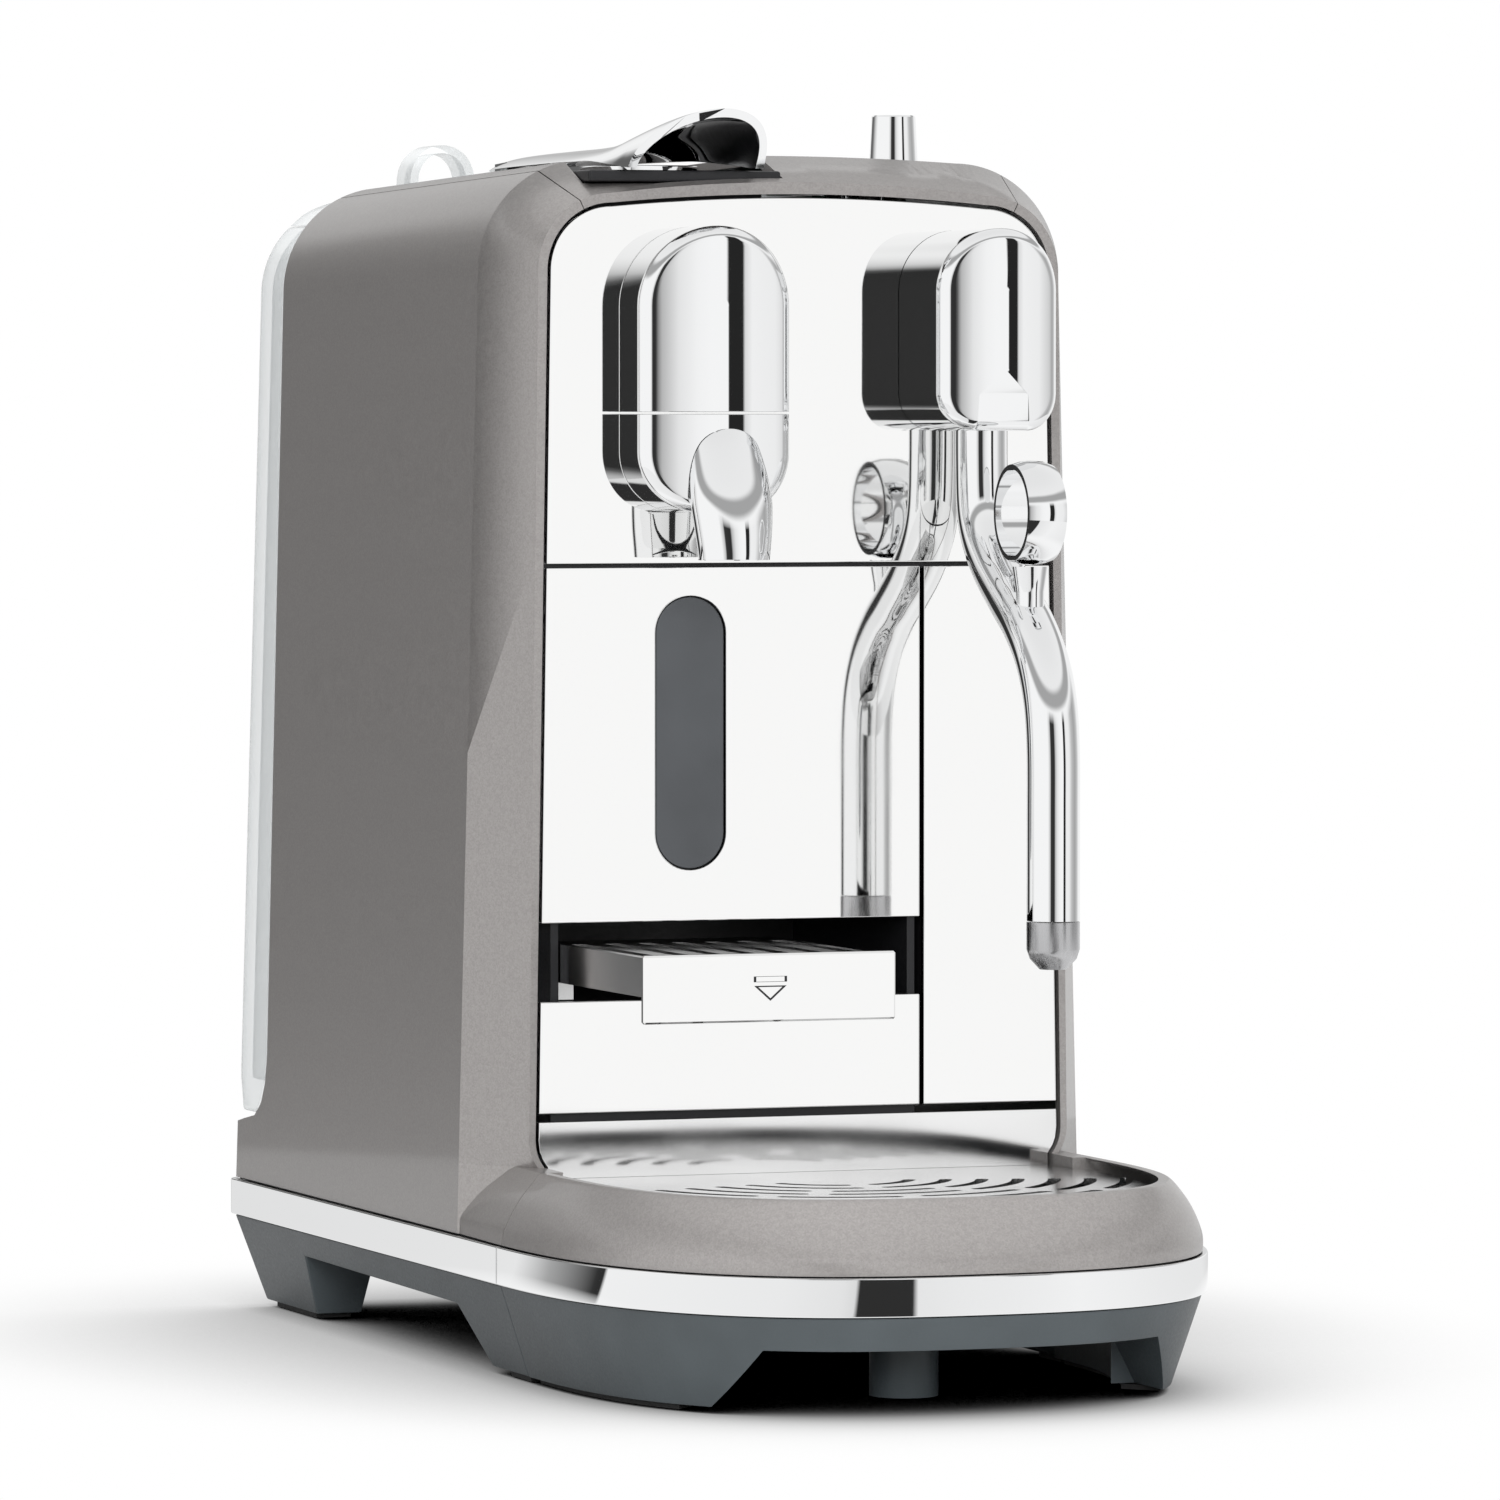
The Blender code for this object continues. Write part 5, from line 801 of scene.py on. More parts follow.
def make_wand():
    """Bent steam tube on its pins, with its tip, the ring grip and the ring's stub."""
    reach = [(0.0, 243.5), (0.0, 228.0), (-1.0, 216.0), (-4.8, 208.0), (-12.3, 200.5), (-22.5, 193.5),
             (-32.5, 187.0), (-41.0, 179.0), (-46.5, 169.0), (-48.6, 157.0), (-48.8, 140.0), (-48.8, 115.0)]
    route = [(STEAM_X, WAND_Y + y * MM, z * MM) for y, z in reach]
    pipe = tube("steam_tube", smooth_run(route, 10), TUBE_R, CHROME, sides=14)
    join(pipe, cylinder("add_wand_pins", PIN_R, -11.6 * MM, 11.6 * MM, WAND_PIVOT, CHROME, "X"))
    tip = [(0.0, 0.0), (3.4 * MM, 0.0), (5.8 * MM, 2.6 * MM), (TUBE_R, 5.0 * MM), (TUBE_R, 11.7 * MM),
           (0.0, 11.7 * MM)]
    turned("steam_tip", tip, (STEAM_X, WAND_OUT_Y, WAND_TIP_Z), STEEL, steps=64)
    half = RING_W / 2
    ring = [(RING_HOLE_R, -half), (RING_R - 1.0 * MM, -half), (RING_R - 0.25 * MM, -half * 0.55),
            (RING_R, 0.0), (RING_R - 0.25 * MM, half * 0.55), (RING_R - 1.0 * MM, half), (RING_HOLE_R, half)]
    turned("wand_ring", ring, (STEAM_X, RING_Y, RING_Z), CHROME, along="X", steps=72)
    stub = [(0.0, -15 * MM), (3.4 * MM, -15 * MM), (3.6 * MM, -6.2 * MM), (4.6 * MM, 0.0), (0.0, 0.0)]
    join(pipe, turned("add_ring_stub", stub, (STEAM_X, RING_Y, RING_Z - RING_R - CLEAR), CHROME))


def make_lever():
    """Leaf-shaped lever: flat over the cover, widening into a hood that is open to the front."""
    stations = [  # y of the middle, y of the edges, top, half width, height of the edges, roundness
        (108.5, 108.0, 303.9, 1.6, 303.0, 2.0), (103.0, 102.6, 305.0, 4.6, 303.2, 2.0),
        (95.0, 94.8, 306.0, 7.6, 303.4, 2.0), (82.0, 82.0, 306.7, 9.4, 303.6, 2.0),
        (62.0, 62.0, 307.1, 10.9, 303.7, 2.0), (38.0, 38.0, 307.3, 12.3, 303.8, 1.9),
        (14.0, 14.0, 307.5, 13.8, 303.8, 1.8), (-6.0, -4.0, 308.2, 15.0, 303.6, 1.6),
        (-22.0, -14.5, 309.8, 16.0, 303.1, 1.4), (-36.0, -23.5, 311.9, 16.8, 302.5, 1.2),
        (-49.0, -32.5, 313.7, 17.4, 301.9, 1.08), (-59.0, -39.5, 314.8, 17.7, 301.3, 1.0),
        (-66.0, -45.0, 315.2, 17.9, 300.95, 0.95)]
    fan = [math.pi * k / LEVER_STEPS for k in range(LEVER_STEPS + 1)]
    rings = []
    for middle_y, edge_y, top, half, edge, power in smooth_run(stations, 5):
        skin = min(LEVER_T, half * 0.45)
        ring = []
        for slim in (0.0, skin):
            side = []
            for t in fan:
                rise = max(math.sin(t), 0.0)
                side.append((LEVER_X + (half - slim) * MM * math.cos(t),
                             (edge_y + (middle_y - edge_y) * rise ** 1.3) * MM,
                             (edge + (top - slim - edge) * rise ** power) * MM))
            ring += side if slim == 0.0 else side[::-1]
        rings.append(ring)
    handle = loft("lever_handle", rings, CHROME)
    px, py, pz = LEVER_PIVOT
    lug_outline = ([(py - 5.0 * MM, 305.4 * MM), (py - 5.0 * MM, pz)]
                   + arc(py, pz, 5.0 * MM, 180, 360, 8)[1:] + [(py + 5.0 * MM, 305.0 * MM)])
    lug = prism("add_lever_lug", lug_outline, px - 6 * MM, px + 6 * MM, CHROME, along="X")
    join(handle, lug, cylinder("add_lever_pin", PIN_R, -14.4 * MM, 14.4 * MM, LEVER_PIVOT, CHROME, "X"))


def make_capsule_slot():
    """Black block under the spoon, with the slot that the capsule drops through."""
    def slot(name, half, y0, y1, low, high, mat):
        outline = rounded_rect(LEVER_X - half * MM, LEVER_X + half * MM, y0 * MM, y1 * MM, (half - 2) * MM, 5)
        return prism(name, outline, low * MM, high * MM, mat)

    housing = block("capsule_slot_housing", (SLOT_X0, SLOT_Y0, 297.6 * MM),
                    (SLOT_X1, SLOT_Y1, 300.6 * MM), BLACK)
    join(housing, block("add_slot_neck", (LEVER_X - 23 * MM, -30 * MM, 288.5 * MM),
                        (LEVER_X + 23 * MM, 30 * MM, 299 * MM), BLACK))
    cut(housing, slot("cut_capsule_mouth", 16, -14, 22, 270, 320, BLACK))
    collar = slot("capsule_collar", 15.7, -13.7, 21.7, 291, 302.4, CHROME)
    cut(collar, slot("cut_collar_hole", 14.2, -12.2, 20.2, 280, 320, CHROME))


def cover_top(x, y):
    """Height of the top cover's skin."""
    return settle(x, y, crown(CREASE, x))[2]


def make_controls():
    """Selector knob, two buttons and the display's window, on the top cover."""
    seat = cover_top(KNOB_X, KNOB_Y)
    profile = [(0.0, 0.0), (6.1 * MM, 0.0), (6.2 * MM, 0.4 * MM), (5.6 * MM, 11.9 * MM),
               (5.3 * MM, 12.3 * MM), (0.0, 12.3 * MM)]
    dial = turned("selector_dial", profile, (KNOB_X, KNOB_Y, seat + 0.6 * MM), CHROME, steps=72)
    join(dial, cylinder("add_dial_shaft", 3.2 * MM, -14 * MM, 4 * MM, (KNOB_X, KNOB_Y, seat), CHROME))
    for name, y in (("start_button", START_Y), ("power_button", POWER_Y)):
        seat = (KNOB_X, y, cover_top(KNOB_X, y))
        cylinder(name, BUTTON_R, -9 * MM, 1.6 * MM, seat, CHROME, edge=0.4 * MM)
    block("display_window", (DISPLAY_X0, DISPLAY_Y0, 296 * MM), (DISPLAY_X1, DISPLAY_Y1, 302.2 * MM), GLASS)


def make_gland():
    """Mains inlet in the lower rear wall."""
    profile = [(0.0, 1.4 * MM), (7.4 * MM, 1.4 * MM), (7.4 * MM, 0.0), (5.0 * MM, 0.0), (5.0 * MM, -8 * MM),
               (0.0, -8 * MM)]
    turned("cord_gland", profile, (GLAND_X, 171.3 * MM, GLAND_Z), BLACK, along="Y")


def tank_half(z, grow=0.0):
    """Half width of the tank's outer part at a height."""
    cx, cz, r = TANK_CORNER
    if z <= cz:
        return TANK_OUTLINE[0] - TANK_OUTLINE[1] * z + grow
    rise = min((z - cz) / (r + grow), 1.0)
    return cx + (r + grow) * math.sqrt(max(1.0 - rise * rise, 0.0))


def tank_ring(z, inset):
    """T-shaped plan section: narrow between the shells, full width behind them."""
    wide = tank_half(z, -inset)
    narrow = min(TANK_HALF_IN - inset, wide - 1.5 * MM)
    step = rear_edge(z) + 0.8 * MM + inset
    rear = TANK_REAR_Y - inset + TANK_LEAN * max(TANK_SPLIT_Z - z, 0.0)
    rear = min(rear, rear + (z - 62 * MM) * 0.35)
    r = min(4.0 * MM, (rear - step) * 0.8)
    half = ([(narrow, TANK_FRONT_Y + inset), (narrow, step), (wide, step)]
            + arc(wide - r, rear - r, r, 0, 90, 3))
    return [(x, y, z) for x, y in half] + [(-x, y, z) for x, y in reversed(half)]


def make_tank():
    """Clear tank, hollowed, with its valve underneath."""
    crown_z = [271.5 * MM + (TANK_SPLIT_Z - 271.5 * MM) * i / 12 for i in range(13)]
    heights = [TANK_FLOOR_Z, 54.0 * MM, 55.5 * MM, 58.0 * MM, 61 * MM, 64.0 * MM, 68 * MM, 180 * MM] + crown_z
    tank = loft("water_tank", [tank_ring(z, 0.0) for z in heights], CLEAR_PLASTIC)
    inside = [61 * MM, 64.0 * MM, 68 * MM, 180 * MM] + crown_z[:-1] + [TANK_SPLIT_Z + 0.5 * MM]
    cavity = loft("cut_tank_cavity", [tank_ring(z, TANK_WALL) for z in inside], CLEAR_PLASTIC)
    inner = TANK_HALF_IN - TANK_WALL
    well = block("cut_tank_floor", (-inner, TANK_FRONT_Y + TANK_WALL, TANK_FLOOR_Z + TANK_WALL),
                 (inner, TANK_REAR_Y - TANK_WALL - 9 * MM, 62 * MM), CLEAR_PLASTIC)
    cut(tank, cavity, well)
    stem = VALVE_R - 1 * MM
    profile = [(0.0, -11 * MM), (5.0 * MM, -11 * MM), (stem, -9 * MM), (stem, -CLEAR), (0.0, -CLEAR)]
    turned("tank_valve", profile, (0, VALVE_Y, TANK_FLOOR_Z), BLACK)


def lid_rings(grow):
    """T-shaped levels that close the body's round top behind the cover."""
    rings = []
    for z, half in smooth_run(LID_LEVELS, 5):
        wide = half * MM + grow
        narrow = min(TANK_HALF_IN, wide - 0.8 * MM) + grow
        front, step, rear = TANK_FRONT_Y - grow, SHELL_REAR_Y + 0.5 * MM - grow, TANK_REAR_Y + grow
        side = ([(narrow, front), (narrow, step), (wide, step)]
                + arc(wide - 4 * MM, rear - 4 * MM, 4 * MM, 0, 90, 3))
        rings.append([(x, y, z + grow) for x, y in side] + [(-x, y, z + grow) for x, y in reversed(side)])
    return rings


def make_tank_lid():
    """Clear lid that completes the tank's round top, and its arched handle."""
    loft("tank_lid", lid_rings(0.0), CLEAR_PLASTIC)
    cx, cy, base = HANDLE_X, HANDLE_Y, 300.0 * MM
    outer = [(cx + 9.0 * MM, 292 * MM)]
    inner = [(cx + 6.8 * MM, 292 * MM)]
    for i in range(41):
        t = math.pi * i / 40
        rise = math.sin(t) ** 0.8 if 0 < i < 40 else 0.0
        outer.append((cx + 9.0 * MM * math.cos(t), base + 11.0 * MM * rise))
        inner.append((cx + 6.8 * MM * math.cos(t), base + 8.9 * MM * rise))
    outer.append((cx - 9.0 * MM, 292 * MM))
    inner.append((cx - 6.8 * MM, 292 * MM))
    handle = prism("tank_handle", outer + inner[::-1], cy - 6 * MM, cy + 6 * MM, CLEAR_PLASTIC, along="Y")
    cut(handle, loft("cut_lid_seat", lid_rings(CLEAR), CLEAR_PLASTIC))


def make_tray_base():
    """Dark front base with two curved feet, arched in front."""
    base = make_plinth("tray_base", lambda inset: nose(inset, gap=CLEAR))
    inner = nose(GROUND_INSET + 14 * MM)
    inner = [(inner[0][0], 0.0)] + inner + [(inner[-1][0], 0.0)]
    hollow = prism("cut_tray_hollow", inner, -5 * MM, ARCH_Z, SLATE)
    arch = [(-62 * MM, -5 * MM), (-51 * MM, ARCH_Z), (51 * MM, ARCH_Z), (62 * MM, -5 * MM)]
    front_arch = prism("cut_tray_arch", arch, -DEPTH, -119 * MM, SLATE, along="Y")
    cut(base, hollow, front_arch)


def make_tray_feet():
    """Curved pads under the front feet and a round foot under the middle."""
    def edge(inset, front_y, sign):
        return [p for p in nose(inset, gap=CLEAR + 1.5 * MM) if p[0] * sign > 0 and p[1] > front_y]

    for side, sign in (("left", -1), ("right", 1)):
        rim = edge(GROUND_INSET + 2.5 * MM, -127 * MM, sign)
        back = edge(GROUND_INSET + 12 * MM, -118 * MM, sign)
        prism(f"tray_foot_pad_{side}", rim + back[::-1], 0, PAD_H, RUBBER)
    cylinder("tray_centre_foot", 8.5 * MM, 0, ARCH_Z - CLEAR, (0, -113 * MM, 0), SLATE)


def make_tray_band():
    outer, inner = nose(0.0, gap=CLEAR), nose(BAND_T, gap=CLEAR)
    return prism("tray_band", outer + inner[::-1], BAND_Z0, BAND_Z1, CHROME)


def make_tray_skirt():
    """Painted bowl between the band and the tray's rim."""
    outer, inner = [], []
    for height, inset, power in SKIRT_FINE:
        outer.append([(x, y, height * MM) for x, y in nose(inset * MM, gap=CLEAR, power=power)])
        back = inset * MM + (2.6 * MM if height < SKIRT_FINE[-1][0] - 0.01 else 2.0 * MM)
        inner.append([(x, y, height * MM) for x, y in nose(back, gap=CLEAR, power=power)])
    bm = bmesh.new()
    first, second = [[[bm.verts.new(p) for p in row] for row in rows] for rows in (outer, inner)]
    for rows in (first, second):
        for lower, upper in zip(rows, rows[1:]):
            bridge(bm, lower, upper, closed=False)
    for k in (0, -1):
        bridge(bm, first[k], second[k], closed=False)
    for end in (0, -1):
        bridge(bm, [row[end] for row in first], [row[end] for row in second], closed=False)
    return finish_mesh("tray_skirt", bm, PAINT)


SLOT_HALF = 1.6 * MM            # half width of the grid's slots
SLOT_ROWS = ((19, 2), (28, 2), (37, 3), (46, 3), (55, 4), (64, 4), (73, 5))     # radius in mm, slots in it
SLOTS_AHEAD = 9.4 * MM          # the rows' common centre is this far ahead of the joint


def make_drip_grid():
    """Polished grid with rows of curved slots."""
    plate_inset = skirt_inset(RIM_Z) + 3.2 * MM
    outline = nose(plate_inset, gap=CLEAR, power=3.0)
    wide, narrow = outline[0][0], 67.3 * MM
    step, rear = SEAM_Y - CLEAR, FRONT_Y - 0.5 * MM
    outline = ([(narrow, rear), (narrow, step), (wide, step)] + outline
               + [(-wide, step), (-narrow, step), (-narrow, rear)])
    grid = prism("drip_grid", outline, GRID_Z - 1.6 * MM, GRID_Z, POLISHED)
    middle_y = SEAM_Y - SLOTS_AHEAD

    def rounded_end(radius, at, start):
        """The half circle that closes a slot's end."""
        spin = math.radians(at)
        tip = (radius * math.cos(spin), middle_y + radius * math.sin(spin))
        return arc(tip[0], tip[1], SLOT_HALF, start, start + 180, 4)[1:-1]

    for radius, spans in SLOT_ROWS:
        for k in range(spans):
            middle = -90 + (k - (spans - 1) / 2) * 150 / spans
            half = 75 / spans - math.degrees(4 / radius)
            a, b, r = middle - half, middle + half, radius * MM
            outer = arc(0, middle_y, r + SLOT_HALF, a, b, 6) + rounded_end(r, b, b)
            inner = rounded_end(r, a, a + 180)[::-1] + arc(0, middle_y, r - SLOT_HALF, a, b, 6)
            low, high = GRID_Z - 5 * MM, GRID_Z + 5 * MM
            cut(grid, prism(f"cut_slot_{radius}_{k}", outer + inner[::-1], low, high, POLISHED))


def make_tray_wall():
    """Polished back wall of the tray, below the drawer's panels."""
    low, high = GRID_Z - 2.4 * MM, LOW_JOINT_Z - 0.6 * MM
    levels = [low, RIM_Z, 54 * MM, 56 * MM, TURN_Z, high]
    right = [(side_x(MIRROR, z) - corner_in(z), z) for z in levels]
    outline = right + [(-x, z) for x, z in reversed(right)]
    panel("tray_back_wall", outline)


def make_cup_support():
    """Pull-out cup support: plate, slotted deck and two runners."""
    front = FRONT_Y - SUPPORT_OUT
    block("support_plate", (SUPPORT_X0, front, PLATE_Z0), (SUPPORT_X1, front + 2.2 * MM, PLATE_Z1), POLISHED,
          0.5 * MM, 1)
    deck_y0, deck_y1 = front + 2.2 * MM + CLEAR, BACKING_Y0 + 14 * MM
    x0, x1 = DRAWER_X0 + 2.0 * MM + CLEAR, SUPPORT_X1 - 1.0 * MM
    deck = block("support_deck", (x0, deck_y0, 103.0 * MM), (x1, deck_y1, DECK_Z1), POLISHED)
    count = 7
    pitch = (x1 - x0) / count
    for i in range(count):
        left = x0 + pitch * (i + 0.5) - 1.9 * MM
        cut(deck, block(f"cut_deck_slot_{i}", (left, deck_y0 + 7 * MM, 90 * MM),
                        (left + 3.8 * MM, deck_y1 - 16 * MM, 120 * MM), POLISHED))
    for side, a, b in (("left", x0, x0 + 4 * MM), ("right", x1 - 4 * MM, x1)):
        join(deck, block(f"add_support_rail_{side}", (a + 0.01 * MM, deck_y0 + 0.01 * MM, 98.0 * MM),
                         (b - 0.01 * MM, deck_y1 - 0.01 * MM, 104.0 * MM), POLISHED))
        join(deck, block(f"add_support_shoe_{side}", (a + 0.02 * MM, FRONT_Y + 3 * MM, SLOT_Z0 + CLEAR),
                         (b - 0.02 * MM, deck_y1 - 0.02 * MM, 99 * MM), POLISHED))


SKIRT_FINE = smooth_run(SKIRT_LEVELS, 5)


# ---- draw the visible pieces --------------------------------------------------------------------
for make in (make_chassis, make_body_band, make_side_shells, make_top_cover, make_rear_cover,
             make_upper_panel, make_right_panel, make_drawer_panels, make_brew_head, make_steam_head,
             make_wand, make_lever, make_capsule_slot, make_controls, make_gland, make_tank, make_tank_lid,
             make_tray_base, make_tray_feet, make_tray_band, make_tray_skirt, make_drip_grid, make_tray_wall,
             make_cup_support):
    make()

EDGES = {  # width of the rounded edge in mm, and the least angle that counts as an edge
    "side_shell_left": (0.5, 25), "side_shell_right": (0.5, 25), "top_cover": (0.4, 30),
    "body_band": (0.35, 35), "tray_band": (0.35, 35), "tray_skirt": (0.4, 40),
    "front_panel_upper": (0.3, 40), "front_panel_right": (0.3, 40), "drawer_panel_upper": (0.3, 40),
    "drawer_panel_lower": (0.3, 40), "tray_back_wall": (0.3, 40), "base_chassis": (0.8, 30),
    "tray_base": (0.8, 30), "support_deck": (0.4, 40), "capsule_slot_housing": (0.8, 40),
    "capsule_collar": (0.3, 40), "water_tank": (0.6, 35), "tank_lid": (0.6, 35), "tank_handle": (0.6, 35),
    "display_window": (0.4, 40), "rear_lower_cover": (0.4, 40), "drip_grid": (0.25, 40),
    "drawer_grip_insert": (0.4, 40), "lever_handle": (0.5, 50), "steam_head": (0.25, 50),
    "coffee_spout": (0.3, 45), "brew_head_upper": (0.2, 60), "brew_head_lower": (0.2, 60),
}


def applied(obj):
    """A mesh with an object's modifiers applied."""
    bpy.context.view_layer.update()
    return bpy.data.meshes.new_from_object(obj.evaluated_get(bpy.context.evaluated_depsgraph_get()))


def settle_piece(obj, name):
    """Apply a drawn piece's modifiers, with its edges rounded, and put it in the CAD model's frame."""
    if name in EDGES:
        width, least = EDGES[name]
        mod = soften(obj, width * MM, 2, least)
        mod.use_clamp_overlap = True
        mod.harden_normals = False
    shape = applied(obj)
    shape.transform(Matrix.Translation((0.0, -MIDDLE_Y, 0.0)))
    shape.shade_smooth()
    shape.set_sharp_from_angle(angle=math.radians(SHARP.get(name, 32)))
    piece = bpy.data.objects.new(name + "_fine", shape)
    SCENE.collection.objects.link(piece)
    mod = piece.modifiers.new("weighted", "WEIGHTED_NORMAL")
    mod.keep_sharp = True
    mod.weight = 90
    shaded = applied(piece)
    piece.modifiers.clear()
    piece.data = shaded
    return piece


# least angle of an edge that stays sharp, where it isn't 32 degrees
SHARP = {"brew_head_upper": 50, "brew_head_lower": 50, "steam_head": 50, "lever_handle": 40}


def make_pictogram():
    """Pull-out mark on the support's plate: a bar over an arrow head, both in thin outline."""
    front = FRONT_Y - SUPPORT_OUT
    x = (SUPPORT_X0 + SUPPORT_X1) / 2
    line, thick = 0.42 * MM, 0.05 * MM

    def outline(name, points):
        middle = sum((Vector(p) for p in points), Vector((0.0, 0.0))) / len(points)
        reach = min((Vector(p) - middle).length for p in points)
        inner = [tuple(Vector(p) + (middle - Vector(p)) * (line * 1.5 / reach)) for p in points]
        bm = bmesh.new()
        rings = [[bm.verts.new((px, y, pz)) for px, pz in ring]
                 for ring in (points, inner) for y in (front - thick, front - 0.01 * MM)]
        for a, b in ((0, 1), (1, 3), (3, 2), (2, 0)):
            bridge(bm, rings[a], rings[b])
        bmesh.ops.recalc_face_normals(bm, faces=bm.faces)
        mesh = bpy.data.meshes.new(name)
        bm.to_mesh(mesh)
        bm.free()
        mesh.transform(Matrix.Translation((0.0, -MIDDLE_Y, 0.0)))
        piece = bpy.data.objects.new(name, mesh)
        SCENE.collection.objects.link(piece)
        mesh.materials.append(BLACK)
        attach(piece, "cup_support")

    z = (PLATE_Z0 + PLATE_Z1) / 2
    outline("mark_bar", [(x - 4.3 * MM, z + 1.4 * MM), (x + 4.3 * MM, z + 1.4 * MM),
                         (x + 4.3 * MM, z + 2.8 * MM), (x - 4.3 * MM, z + 2.8 * MM)])
    outline("mark_arrow", [(x - 4.2 * MM, z + 0.5 * MM), (x + 4.2 * MM, z + 0.5 * MM), (x, z - 3.2 * MM)])


make_pictogram()
nodes = frame["nodes"]
body_of = {node: body for body, members in frame["record"]["behaviour"]["bodies"].items() for node in members}
slot_of = {row["node"]: row["material_slot"] for row in frame["record"]["subparts"]}
fine = {}
for base, obj in DRAWN:
    if base in nodes:
        fine[base] = settle_piece(obj, base)
for _, obj in DRAWN:
    bpy.data.objects.remove(obj, do_unlink=True)
for name, piece in fine.items():
    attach(piece, body_of[name])
    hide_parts(name)

SLOT_LOOKS = {
    "paint": PAINT, "polished_steel": POLISHED, "chrome": CHROME, "slate_plastic": SLATE,
    "black_plastic": BLACK, "charcoal_plastic": CHARCOAL, "rubber": RUBBER, "clear_plastic": CLEAR_PLASTIC,
    "display_glass": GLASS, "brass": BRASS, "cast_alloy": ALLOY, "circuit_board": BOARD, "steel": STEEL,
}
for name, piece in [*nodes.items(), *fine.items()]:
    piece.data.materials.clear()
    piece.data.materials.append(SLOT_LOOKS[slot_of[name]])


def polish_faces(piece, chosen):
    """Give the faces of a piece that a test picks a bright steel liner."""
    piece.data.materials.append(POLISHED)
    last = len(piece.data.materials) - 1
    for face in piece.data.polygons:
        if chosen(face.center, face.normal):
            face.material_index = last


TRAY_MIDDLE = Vector((0.0, SEAM_Y - SLOTS_AHEAD - MIDDLE_Y, 0.0))
polish_faces(fine["tray_skirt"],
             lambda place, out: out.xy.dot((place - TRAY_MIDDLE).xy) < 0 and abs(out.z) < 0.7)
SATIN = mirror_metal("satin_steel", (0.8, 0.8, 0.8), 0.13, 0.22)
SOFT_MIRROR = mirror_metal("soft_mirror_steel", (0.88, 0.88, 0.88), 0.06, 0.11)
for name, look in (("drip_grid", SATIN), ("support_deck", SATIN), ("tray_back_wall", SOFT_MIRROR)):
    fine[name].data.materials[0] = look
nodes["drip_basin"].data.materials[0] = brushed("basin_steel", (0.66, 0.66, 0.66), 0.3, (1.0, 1.0, 0.05))


# ---- stage, light and camera --------------------------------------------------------------------
WHITE = (1, 1, 1, 1)
WORLD_LEVEL = 0.16              # how strongly the surroundings light what isn't glossy
FLOOR_RADIUS = 0.85             # beyond it the surroundings go on in the same white
FLOOR_DROP = 0.0003             # the floor lies this far under the feet
FLOOR_TONE = (0.85, 0.85, 0.85, 1.0)
SHADOW_REACH = 0.16             # how near a piece has to be to darken the floor
SHADOW_RANGE = (0.1, 0.93)      # openness of the sky over the floor, from black to white
FLAGS_FROM = (0.24, 0.3)        # how far out the floor starts to show its flags to gloss
FLAGS = [  # bearing in degrees from the front, and how bright the surroundings are there
    (-179, 0.95), (-173, 0.9), (-167, 0.12), (-145, 0.16), (-125, 0.7), (-110, 1.0), (-44, 1.0), (-34, 0.55),
    (-32, 0.04), (-16, 0.03), (-13, 0.5), (-4, 0.85), (6, 0.97), (14, 1.0), (23.2, 1.0), (23.5, 0.02),
    (33, 0.02), (33.4, 0.75), (38, 0.95), (52, 0.92), (66, 0.55), (84, 0.4), (100, 0.55), (116, 0.95),
    (150, 0.95), (163, 0.5), (170, 0.9), (179, 0.95)]
FLOOR_FLAGS = [  # the same for what the low metal sees standing on the floor, by bearing about its nose
    (-179, 0.5), (-168, 0.8), (-152, 0.86), (-141, 0.4), (-122, 0.03), (-119.5, 0.03), (-119, 0.95),
    (-40, 0.9), (-16, 0.84), (-10.6, 0.76), (-10, 0.03), (7.2, 0.03), (7.8, 0.86), (40, 0.97), (80, 0.9),
    (120, 0.85), (150, 0.6), (158, 0.2), (170, 0.08), (179, 0.3)]
NOSE_MIDDLE = (-0.03, -0.09, 0.0)
FLAG_TOP = (0.24, 0.36)         # the flags' upper edge, as a sine of the height
CEILING = [(0.34, 1.0), (0.44, 0.4), (0.54, 0.4), (0.64, 0.9), (0.99, 0.85)]    # brightness by the same sine


def emptied_tree(owner):
    owner.use_nodes = True
    owner.node_tree.nodes.clear()
    return owner.node_tree


def seen_ray(tree, *others):
    """1 for rays from the camera, through glass and of the other kinds named."""
    path = add_node(tree, "LightPath")
    value = path.outputs["Is Camera Ray"]
    for kind in ("Is Transmission Ray",) + others:
        value = sum_of(tree, "MAXIMUM", value, path.outputs[kind])
    return value


def grey_ramp(tree, source, stops, interpolation="LINEAR"):
    """Grey levels at places from 0 to 1; the outermost ones are held to the ends."""
    ramp = add_node(tree, "ValToRGB", {"Fac": source})
    ramp.color_ramp.interpolation = interpolation
    marks = ramp.color_ramp.elements
    for place, level in stops:
        marks.new(place).color = (level, level, level, 1.0)
    for end in (0, -1):
        marks[end].color = (stops[end][1],) * 3 + (1.0,)
    return ramp.outputs["Color"]


def bearing_ramp(tree, vector, flags):
    """Brightness by the bearing of a vector, in degrees from the front and positive to the right."""
    split = add_node(tree, "SeparateXYZ", {0: vector})
    ahead = sum_of(tree, "MULTIPLY", split.outputs["Y"], -1.0)
    turn = sum_of(tree, "ARCTAN2", split.outputs["X"], ahead)
    stops = [((degrees + 180.0) / 360.0, level) for degrees, level in flags]
    return grey_ramp(tree, span(tree, turn, -math.pi, math.pi), stops), split.outputs["Z"]


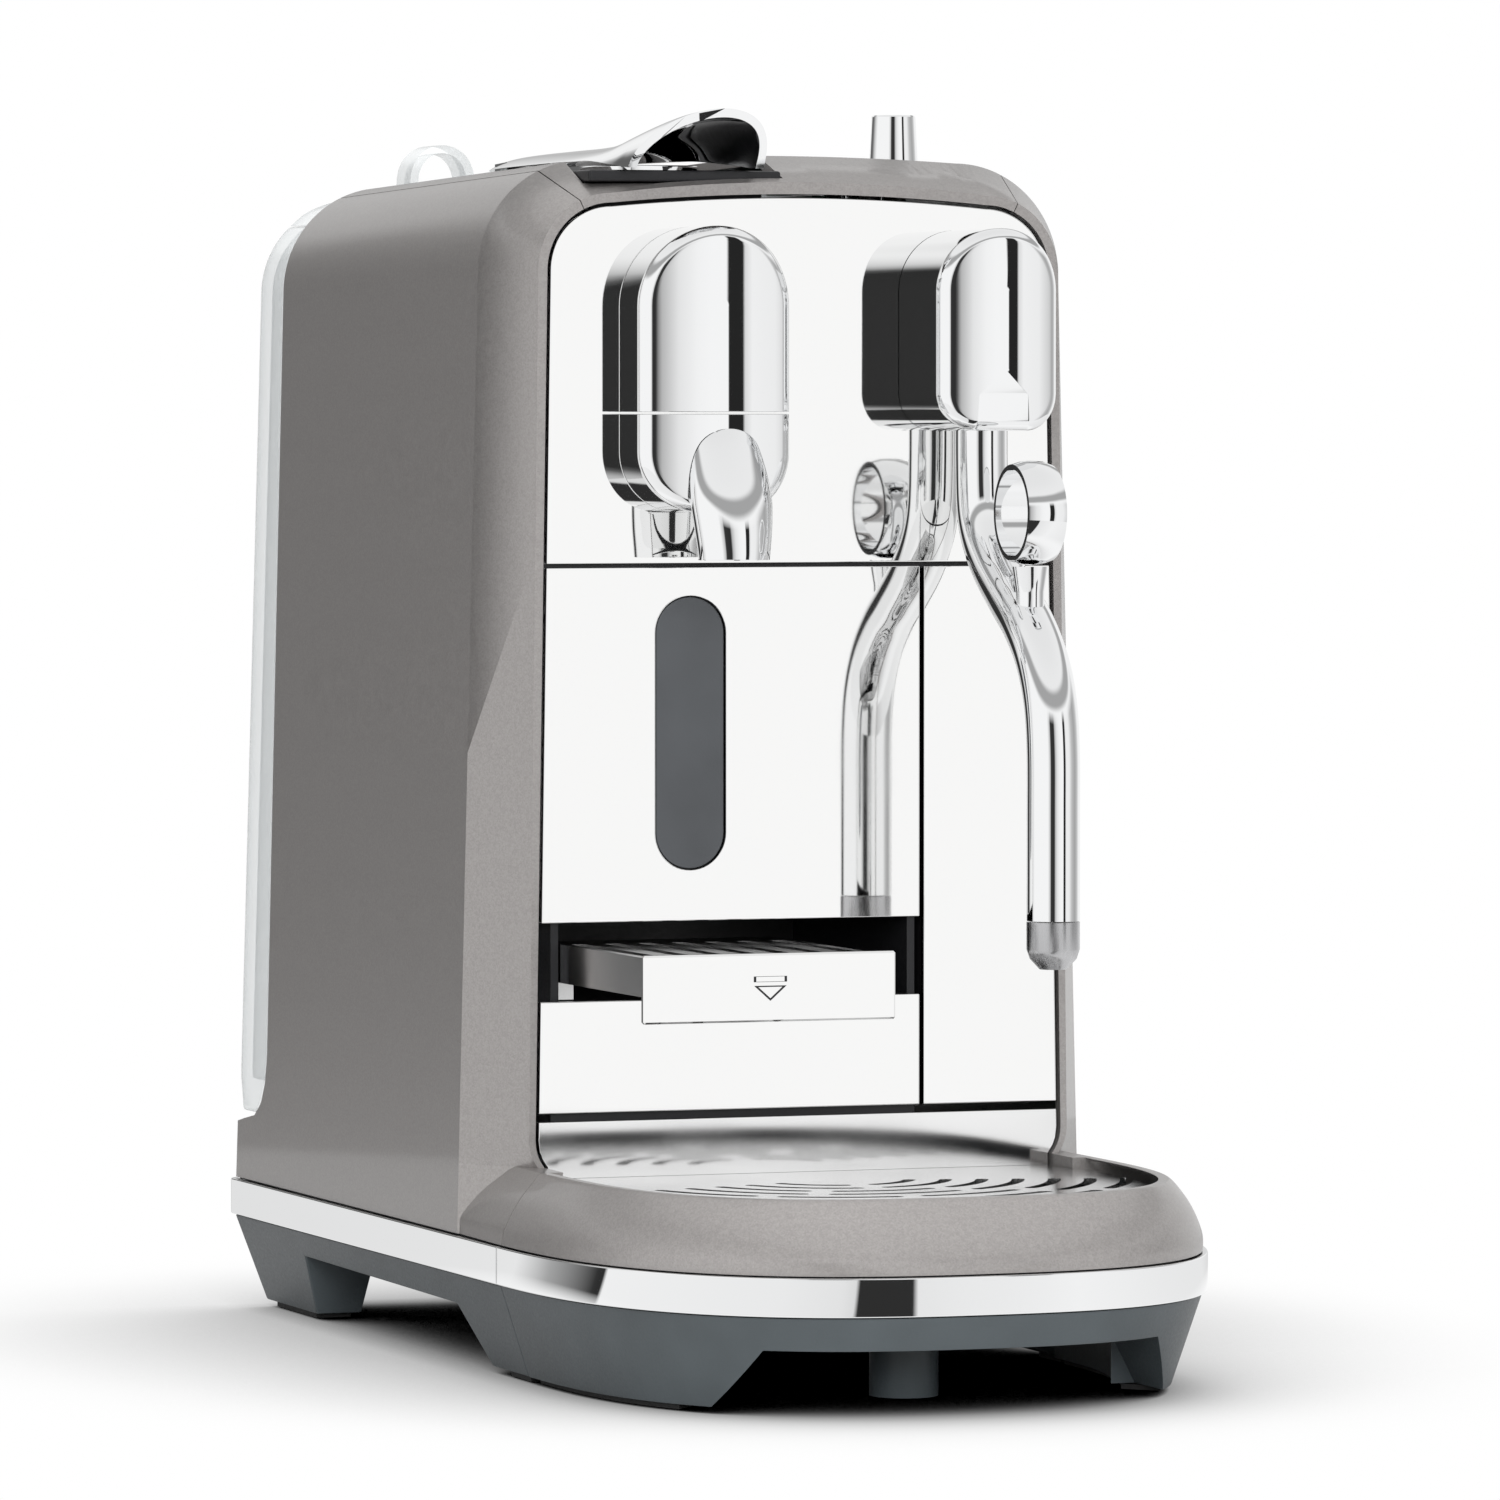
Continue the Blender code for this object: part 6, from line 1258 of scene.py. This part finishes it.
def stage_floor():
    """Pale floor: plain to the lamps, white with a soft contact shadow where it is seen, flags to gloss."""
    bm = bmesh.new()
    bmesh.ops.create_circle(bm, cap_ends=True, segments=96, radius=FLOOR_RADIUS)
    mesh = bpy.data.meshes.new("floor")
    bm.to_mesh(mesh)
    bm.free()
    floor = bpy.data.objects.new("floor", mesh)
    SCENE.collection.objects.link(floor)
    floor.location.z = -FLOOR_DROP
    mat = bpy.data.materials.new("floor_white")
    tree = emptied_tree(mat)
    shade = add_node(tree, "AmbientOcclusion", {"Distance": SHADOW_REACH}, samples=24)
    place = add_node(tree, "NewGeometry").outputs["Position"]
    about = add_node(tree, "VectorMath", {0: place, 1: NOSE_MIDDLE}, operation="SUBTRACT")
    flags, _ = bearing_ramp(tree, about.outputs["Vector"], FLOOR_FLAGS)
    reach = add_node(tree, "VectorMath", {0: place}, operation="LENGTH").outputs["Value"]
    glossy = add_node(tree, "LightPath").outputs["Is Glossy Ray"]
    flagged = sum_of(tree, "MULTIPLY", span(tree, reach, *FLAGS_FROM), glossy)
    lit = add_node(tree, "BsdfDiffuse", {"Color": FLOOR_TONE})
    glow = add_node(tree, "Emission", {"Color": blend(tree, flagged, WHITE, flags),
                                       "Strength": span(tree, shade.outputs["AO"], *SHADOW_RANGE)})
    mix = mix_shaders(tree, seen_ray(tree, "Is Glossy Ray"), lit, glow)
    add_node(tree, "OutputMaterial", {"Surface": mix.outputs[0]})
    mesh.materials.append(mat)


def studio_world():
    """White to the camera and through glass, with soft dark flags for the metal to show; plain otherwise."""
    SCENE.world = bpy.data.worlds.new("studio")
    tree = emptied_tree(SCENE.world)
    coords = add_node(tree, "TexCoord")
    flags, height = bearing_ramp(tree, coords.outputs["Generated"], FLAGS)
    walls = blend(tree, span(tree, height, *FLAG_TOP), flags, WHITE)
    above = grey_ramp(tree, height, CEILING, "EASE")
    glossy = add_node(tree, "Background", {"Color": walls, "Strength": above})
    white = add_node(tree, "Background", {"Color": WHITE})
    plain = add_node(tree, "Background", {"Color": WHITE, "Strength": WORLD_LEVEL})
    path = add_node(tree, "LightPath")
    unseen = mix_shaders(tree, path.outputs["Is Glossy Ray"], plain, glossy)
    final = mix_shaders(tree, seen_ray(tree), unseen, white)
    add_node(tree, "OutputWorld", {"Surface": final.outputs[0]})


def soft_light(name, place, aim, size, power):
    lamp = bpy.data.lights.new(name, "AREA")
    lamp.shape = "RECTANGLE"
    lamp.size, lamp.size_y = size
    lamp.energy = power
    obj = bpy.data.objects.new(name, lamp)
    SCENE.collection.objects.link(obj)
    obj.location = place
    obj.rotation_euler = (Vector(aim) - Vector(place)).to_track_quat("-Z", "Y").to_euler()
    obj.visible_glossy = False
    return obj


CAMERA_LENS = 230.96            # in mm
CAMERA_PLACE = (-0.8399, -2.3062, 0.2433)
CAMERA_TURNS = (87.915, 0.0, -20.05)    # in degrees
stage_floor()
studio_world()
soft_light("key", (-0.65, -2.5, 0.9), (0, 0, 0.16), (1.8, 1.2), 112.0)
soft_light("top", (-0.1, -0.6, 2.4), (0, 0, 0.1), (1.8, 1.8), 44.0)

camera_data = bpy.data.cameras.new("camera")
camera_data.lens = CAMERA_LENS
camera_data.sensor_width = 36.0
camera_data.clip_end = 100.0
camera = bpy.data.objects.new("camera", camera_data)
SCENE.collection.objects.link(camera)
camera.location = CAMERA_PLACE
camera.rotation_euler = [math.radians(turn) for turn in CAMERA_TURNS]
SCENE.camera = camera
SCENE.view_settings.view_transform = "Standard"
